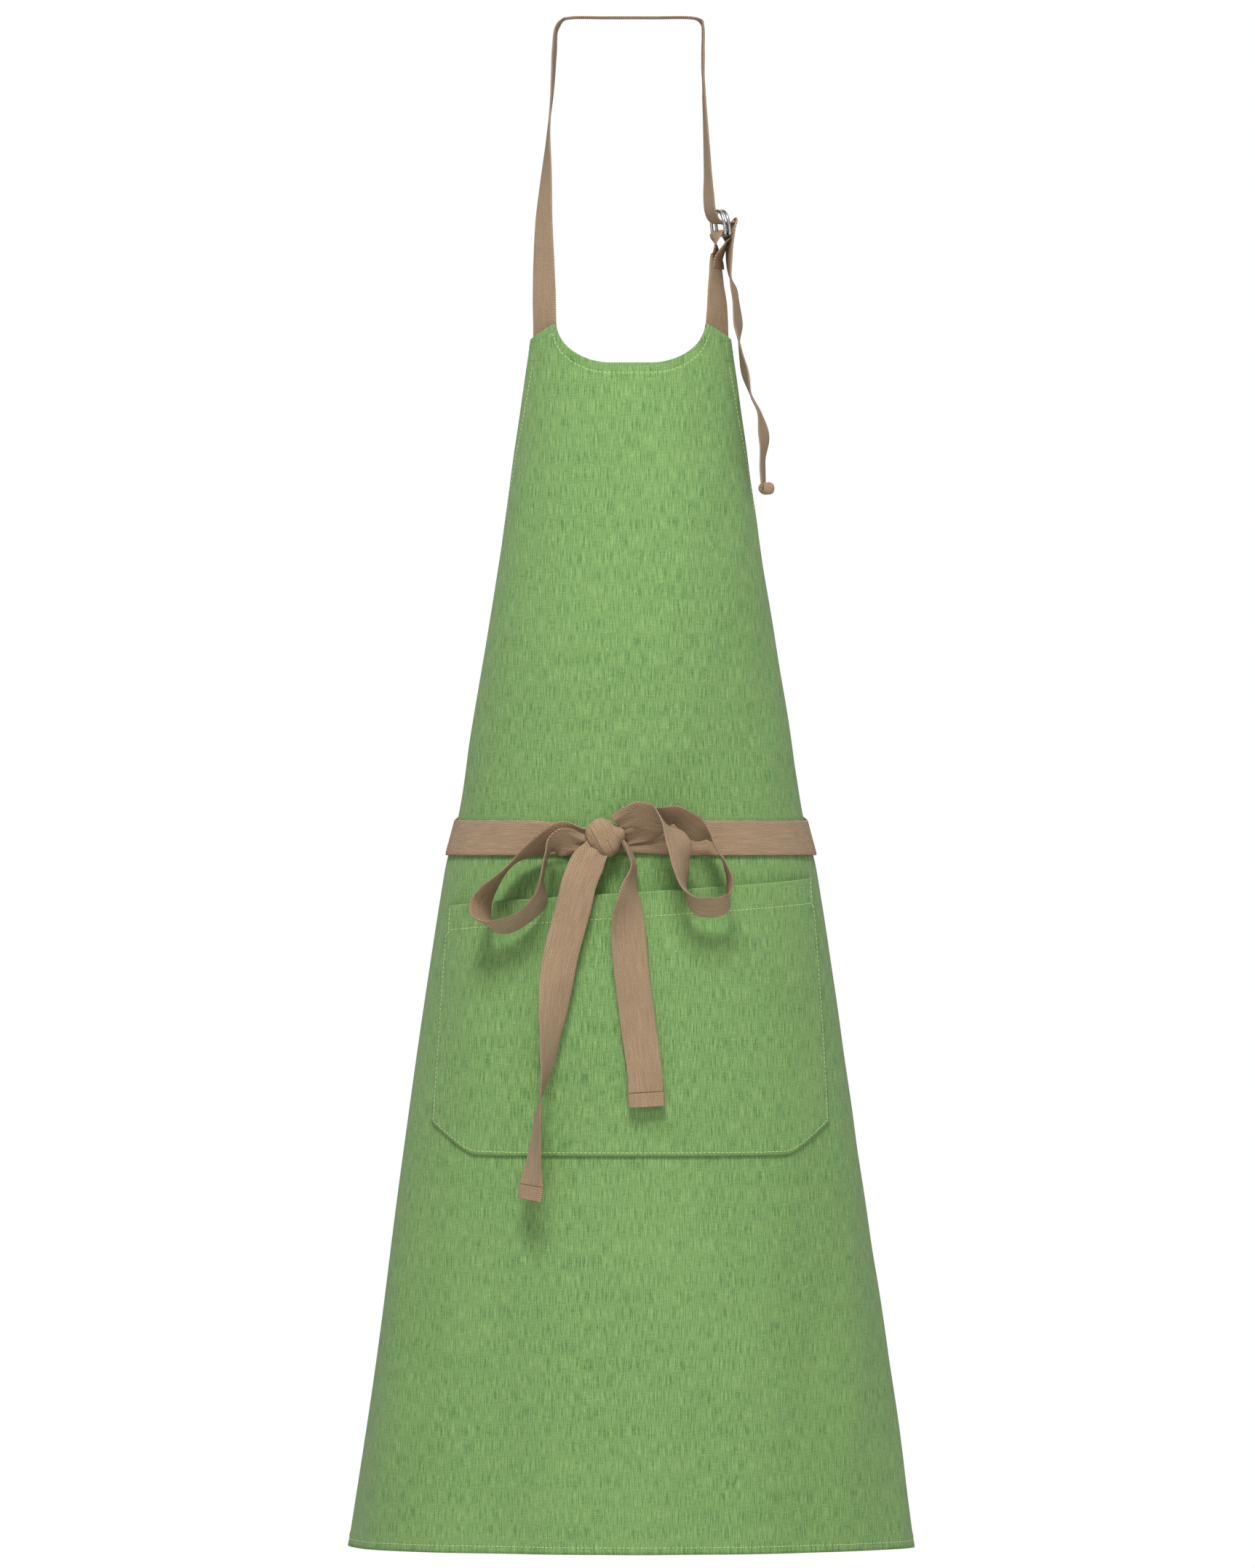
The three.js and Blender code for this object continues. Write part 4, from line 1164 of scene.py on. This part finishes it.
tail_knot = wrapped_knot(
    "strap_tail_knot_wrap", TAIL_KNOT_OUTLINE, 4.1, tail_knot_at, math.radians(-35),
    ((-1.6, 0.7, 0.25), (2.0, -0.7, 0.25)), tape_tan, 2,
)

# ---------- the seams
def seam(place, points):
    """A stitch line through (u, v) pairs on a surface, and the directions straight out of it."""
    u, v = np.array([p[0] for p in points]), np.array([p[1] for p in points])
    line = place(u, v, 0.0)
    return line, place(u, v, 1.0) - line


hem_line = [(s, HEM - HEM_STITCH) for s in np.linspace(-0.985, 0.985, 260)]
neck_line = [(s, float(top_edge(s)) + FACING_STITCH) for s in np.linspace(-0.74, 0.74, 160)]
panel_lines = [seam(by_share, hem_line), seam(by_share, neck_line)]
for hand in (-1, 1):
    downs = np.linspace(BIB_TOP + 30, WAIST - 16, 220)
    panel_lines.append(seam(by_share, [(hand * float(share_in(d, STITCH_IN)), d) for d in downs]))
    downs = np.linspace(WAIST + 16, HEM - 12, 260)
    panel_lines.append(seam(by_share, [(hand * float(share_in(d, STITCH_IN)), d) for d in downs]))
panel_thread = stitches("panel_thread", panel_lines, thread_light, 21)

strap_lines = []
for hand in (-1, 1):
    box = []
    for x, z in ((-0.085, 12), (-0.085, 26), (0.075, 26), (0.075, 12), (-0.085, 12)):
        box.append((hand * (STRAP_SHARE + x), BIB_TOP + z))
    path = []
    for (s0, d0), (s1, d1) in zip(box[:-1], box[1:]):
        path += [(mix(s0, s1, t), mix(d0, d1, t)) for t in np.linspace(0, 1, 12, endpoint=False)]
    strap_lines.append(seam(by_share, path + [box[-1]]))
corner_thread = stitches("strap_corner_thread", strap_lines, thread_green, 22)

half_pocket = POCKET_WIDTH / 2
mouth_line = [(u, float(pocket_v(u, MOUTH_STITCH))) for u in np.linspace(-0.955, 0.965, 200)]
edge_u, edge_v = edge_path(70, POCKET_STITCH)
pocket_lines = [seam(pocket_point, mouth_line), seam(pocket_point, list(zip(edge_u, edge_v)))]
for hand, inward in ((-1, 7.0), (1, 6.0)):
    side_u = hand * (1 - inward / half_pocket)
    downs = np.linspace(1.5, MOUTH_STITCH + 3, 16)
    down_line = [(side_u, float(pocket_v(side_u, d))) for d in downs]
    low_v = float(pocket_v(side_u, MOUTH_STITCH + 3))
    returns = [(mix(side_u, hand * 0.985, t), low_v) for t in (0.2, 0.6, 1)]
    pocket_lines.append(seam(pocket_point, down_line + returns))
pocket_thread = stitches("pocket_thread", pocket_lines, thread_light, 23)

# ---------- bodies: each piece put under its body's empty, and the frame's parts that it stands for hidden
def stands(obj, body, slot, *nodes):
    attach(obj, body)
    if nodes:
        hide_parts(*nodes)


FOLD_NODES = ("armhole_hem_left", "side_hem_left", "armhole_hem_right", "side_hem_right")
BODY_PIECES = (
    ("apron", "cotton_cloth", (
        (panel, "body_panel"), (bottom_hem, "bottom_hem"), (facing, "neckline_facing"),
        *zip(side_folds, FOLD_NODES),
        (pocket, "pocket_panel"), (mouth_hem, "pocket_mouth_hem"), (edge_fold, "pocket_edge_fold"),
    )),
    ("apron", "cotton_tape", (
        (tie_left, "waist_tie_left"), (tie_right, "waist_tie_right"), (strap, "neck_strap"),
        (short, "neck_strap_short"), (knot, "bow_knot"),
    )),
    ("strap_tail", "cotton_tape", ((strap_tail, "neck_strap_tail"), (tail_knot, "tail_end_knot"))),
    ("d_rings", "ring_steel", ((ring_inner, "d_ring_inner"), (ring_outer, "d_ring_outer"))),
    ("loop_left", "cotton_tape", ((loop_left, "bow_loop_left"),)),
    ("loop_right", "cotton_tape", ((loop_right, "bow_loop_right"),)),
    ("tail_left", "cotton_tape", (
        (tail_left, "bow_tail_left"), (end_left, "tail_end_fold_left"), (end_left_thread,),
    )),
    ("tail_right", "cotton_tape", (
        (tail_right, "bow_tail_right"), (end_right, "tail_end_fold_right"), (end_right_thread,),
    )),
    ("apron", "cotton_cloth", ((panel_thread,), (corner_thread,), (pocket_thread,))),
)
for body, slot, pieces in BODY_PIECES:
    for obj, *nodes in pieces:
        stands(obj, body, slot, *nodes)

for obj, long, held, on, extra in (
    (tie_left, tie_left_long, "stretched", [panel], []),
    (tie_right, tie_right_long, "stretched", [panel], []),
    (strap, strap_long, "hung", [ring_outer], []),
    (short, short_long, "folded", [ring_inner, ring_outer], []),
    (strap_tail, strap_tail_long, "hung", [ring_outer], [tail_knot]),
    (loop_left, loop_left_long, "folded", [knot], []),
    (loop_right, loop_right_long, "folded", [knot], []),
    (tail_left, tail_left_long, "hung", [knot], [end_left, end_left_thread]),
    (tail_right, tail_right_long, "hung", [knot], [end_right, end_right_thread]),
):
    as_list(on)
    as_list(extra)

# ---------- camera, floor and light
scene = bpy.context.scene
scene.view_settings.view_transform = "Standard"
VIEW_TALL = 1.0996
VIEW_CENTRE = (-0.0023, -0.10, -0.5411)
DISTANCE = 12.0
SENSOR = 36.0
FLOOR_AT = -1.5
camera_data = bpy.data.cameras.new("camera")
camera_data.lens = SENSOR * DISTANCE / VIEW_TALL
camera_data.sensor_width = SENSOR
camera_data.clip_end = 60
camera = bpy.data.objects.new("camera", camera_data)
camera.location = (VIEW_CENTRE[0], VIEW_CENTRE[1] - DISTANCE, VIEW_CENTRE[2])
camera.rotation_euler = (math.pi / 2, 0, 0)
scene.collection.objects.link(camera)
scene.camera = camera

floor_mesh = bpy.data.meshes.new("floor")
floor_mesh.from_pydata([(-6, -6, 0), (6, -6, 0), (6, 6, 0), (-6, 6, 0)], [], [(0, 1, 2, 3)])
floor = bpy.data.objects.new("floor", floor_mesh)
floor.location.z = FLOOR_AT
floor_look = bpy.data.materials.new("floor_look")
floor_look.use_nodes = True
floor_look.node_tree.nodes["Principled BSDF"].inputs["Base Color"].default_value = (0.86, 0.86, 0.85, 1)
floor_look.node_tree.nodes["Principled BSDF"].inputs["Roughness"].default_value = 0.9
floor_mesh.materials.append(floor_look)
scene.collection.objects.link(floor)


def area_light(name, power, size, location, aim):
    data = bpy.data.lights.new(name, "AREA")
    data.energy = power
    data.size = size
    light = bpy.data.objects.new(name, data)
    light.location = location
    light.rotation_euler = (Vector(aim) - Vector(location)).to_track_quat("-Z", "Y").to_euler()
    scene.collection.objects.link(light)


area_light("key", 66, 0.9, (-0.15, -1.8, 1.75), (0, -0.1, -0.6))
area_light("fill", 10, 2.0, (0.3, -2.8, -0.4), (0, -0.1, -0.6))
area_light("back", 10, 2.0, (0.4, 2.4, 0.8), (0, 0, -0.5))

world = bpy.data.worlds.new("studio")
scene.world = world
world.use_nodes = True
sky = world.node_tree
plain = sky.nodes["Background"]
plain.inputs["Color"].default_value = (1, 1, 1, 1)
plain.inputs["Strength"].default_value = 0.36
white = sky.nodes.new("ShaderNodeBackground")
white.inputs["Strength"].default_value = 1.0
either = sky.nodes.new("ShaderNodeMixShader")
ray = sky.nodes.new("ShaderNodeLightPath")
sky.links.new(ray.outputs["Is Camera Ray"], either.inputs[0])
sky.links.new(plain.outputs[0], either.inputs[1])
sky.links.new(white.outputs[0], either.inputs[2])
sky.links.new(either.outputs[0], sky.nodes["World Output"].inputs["Surface"])
white.inputs["Color"].default_value = (1, 1, 1, 1)
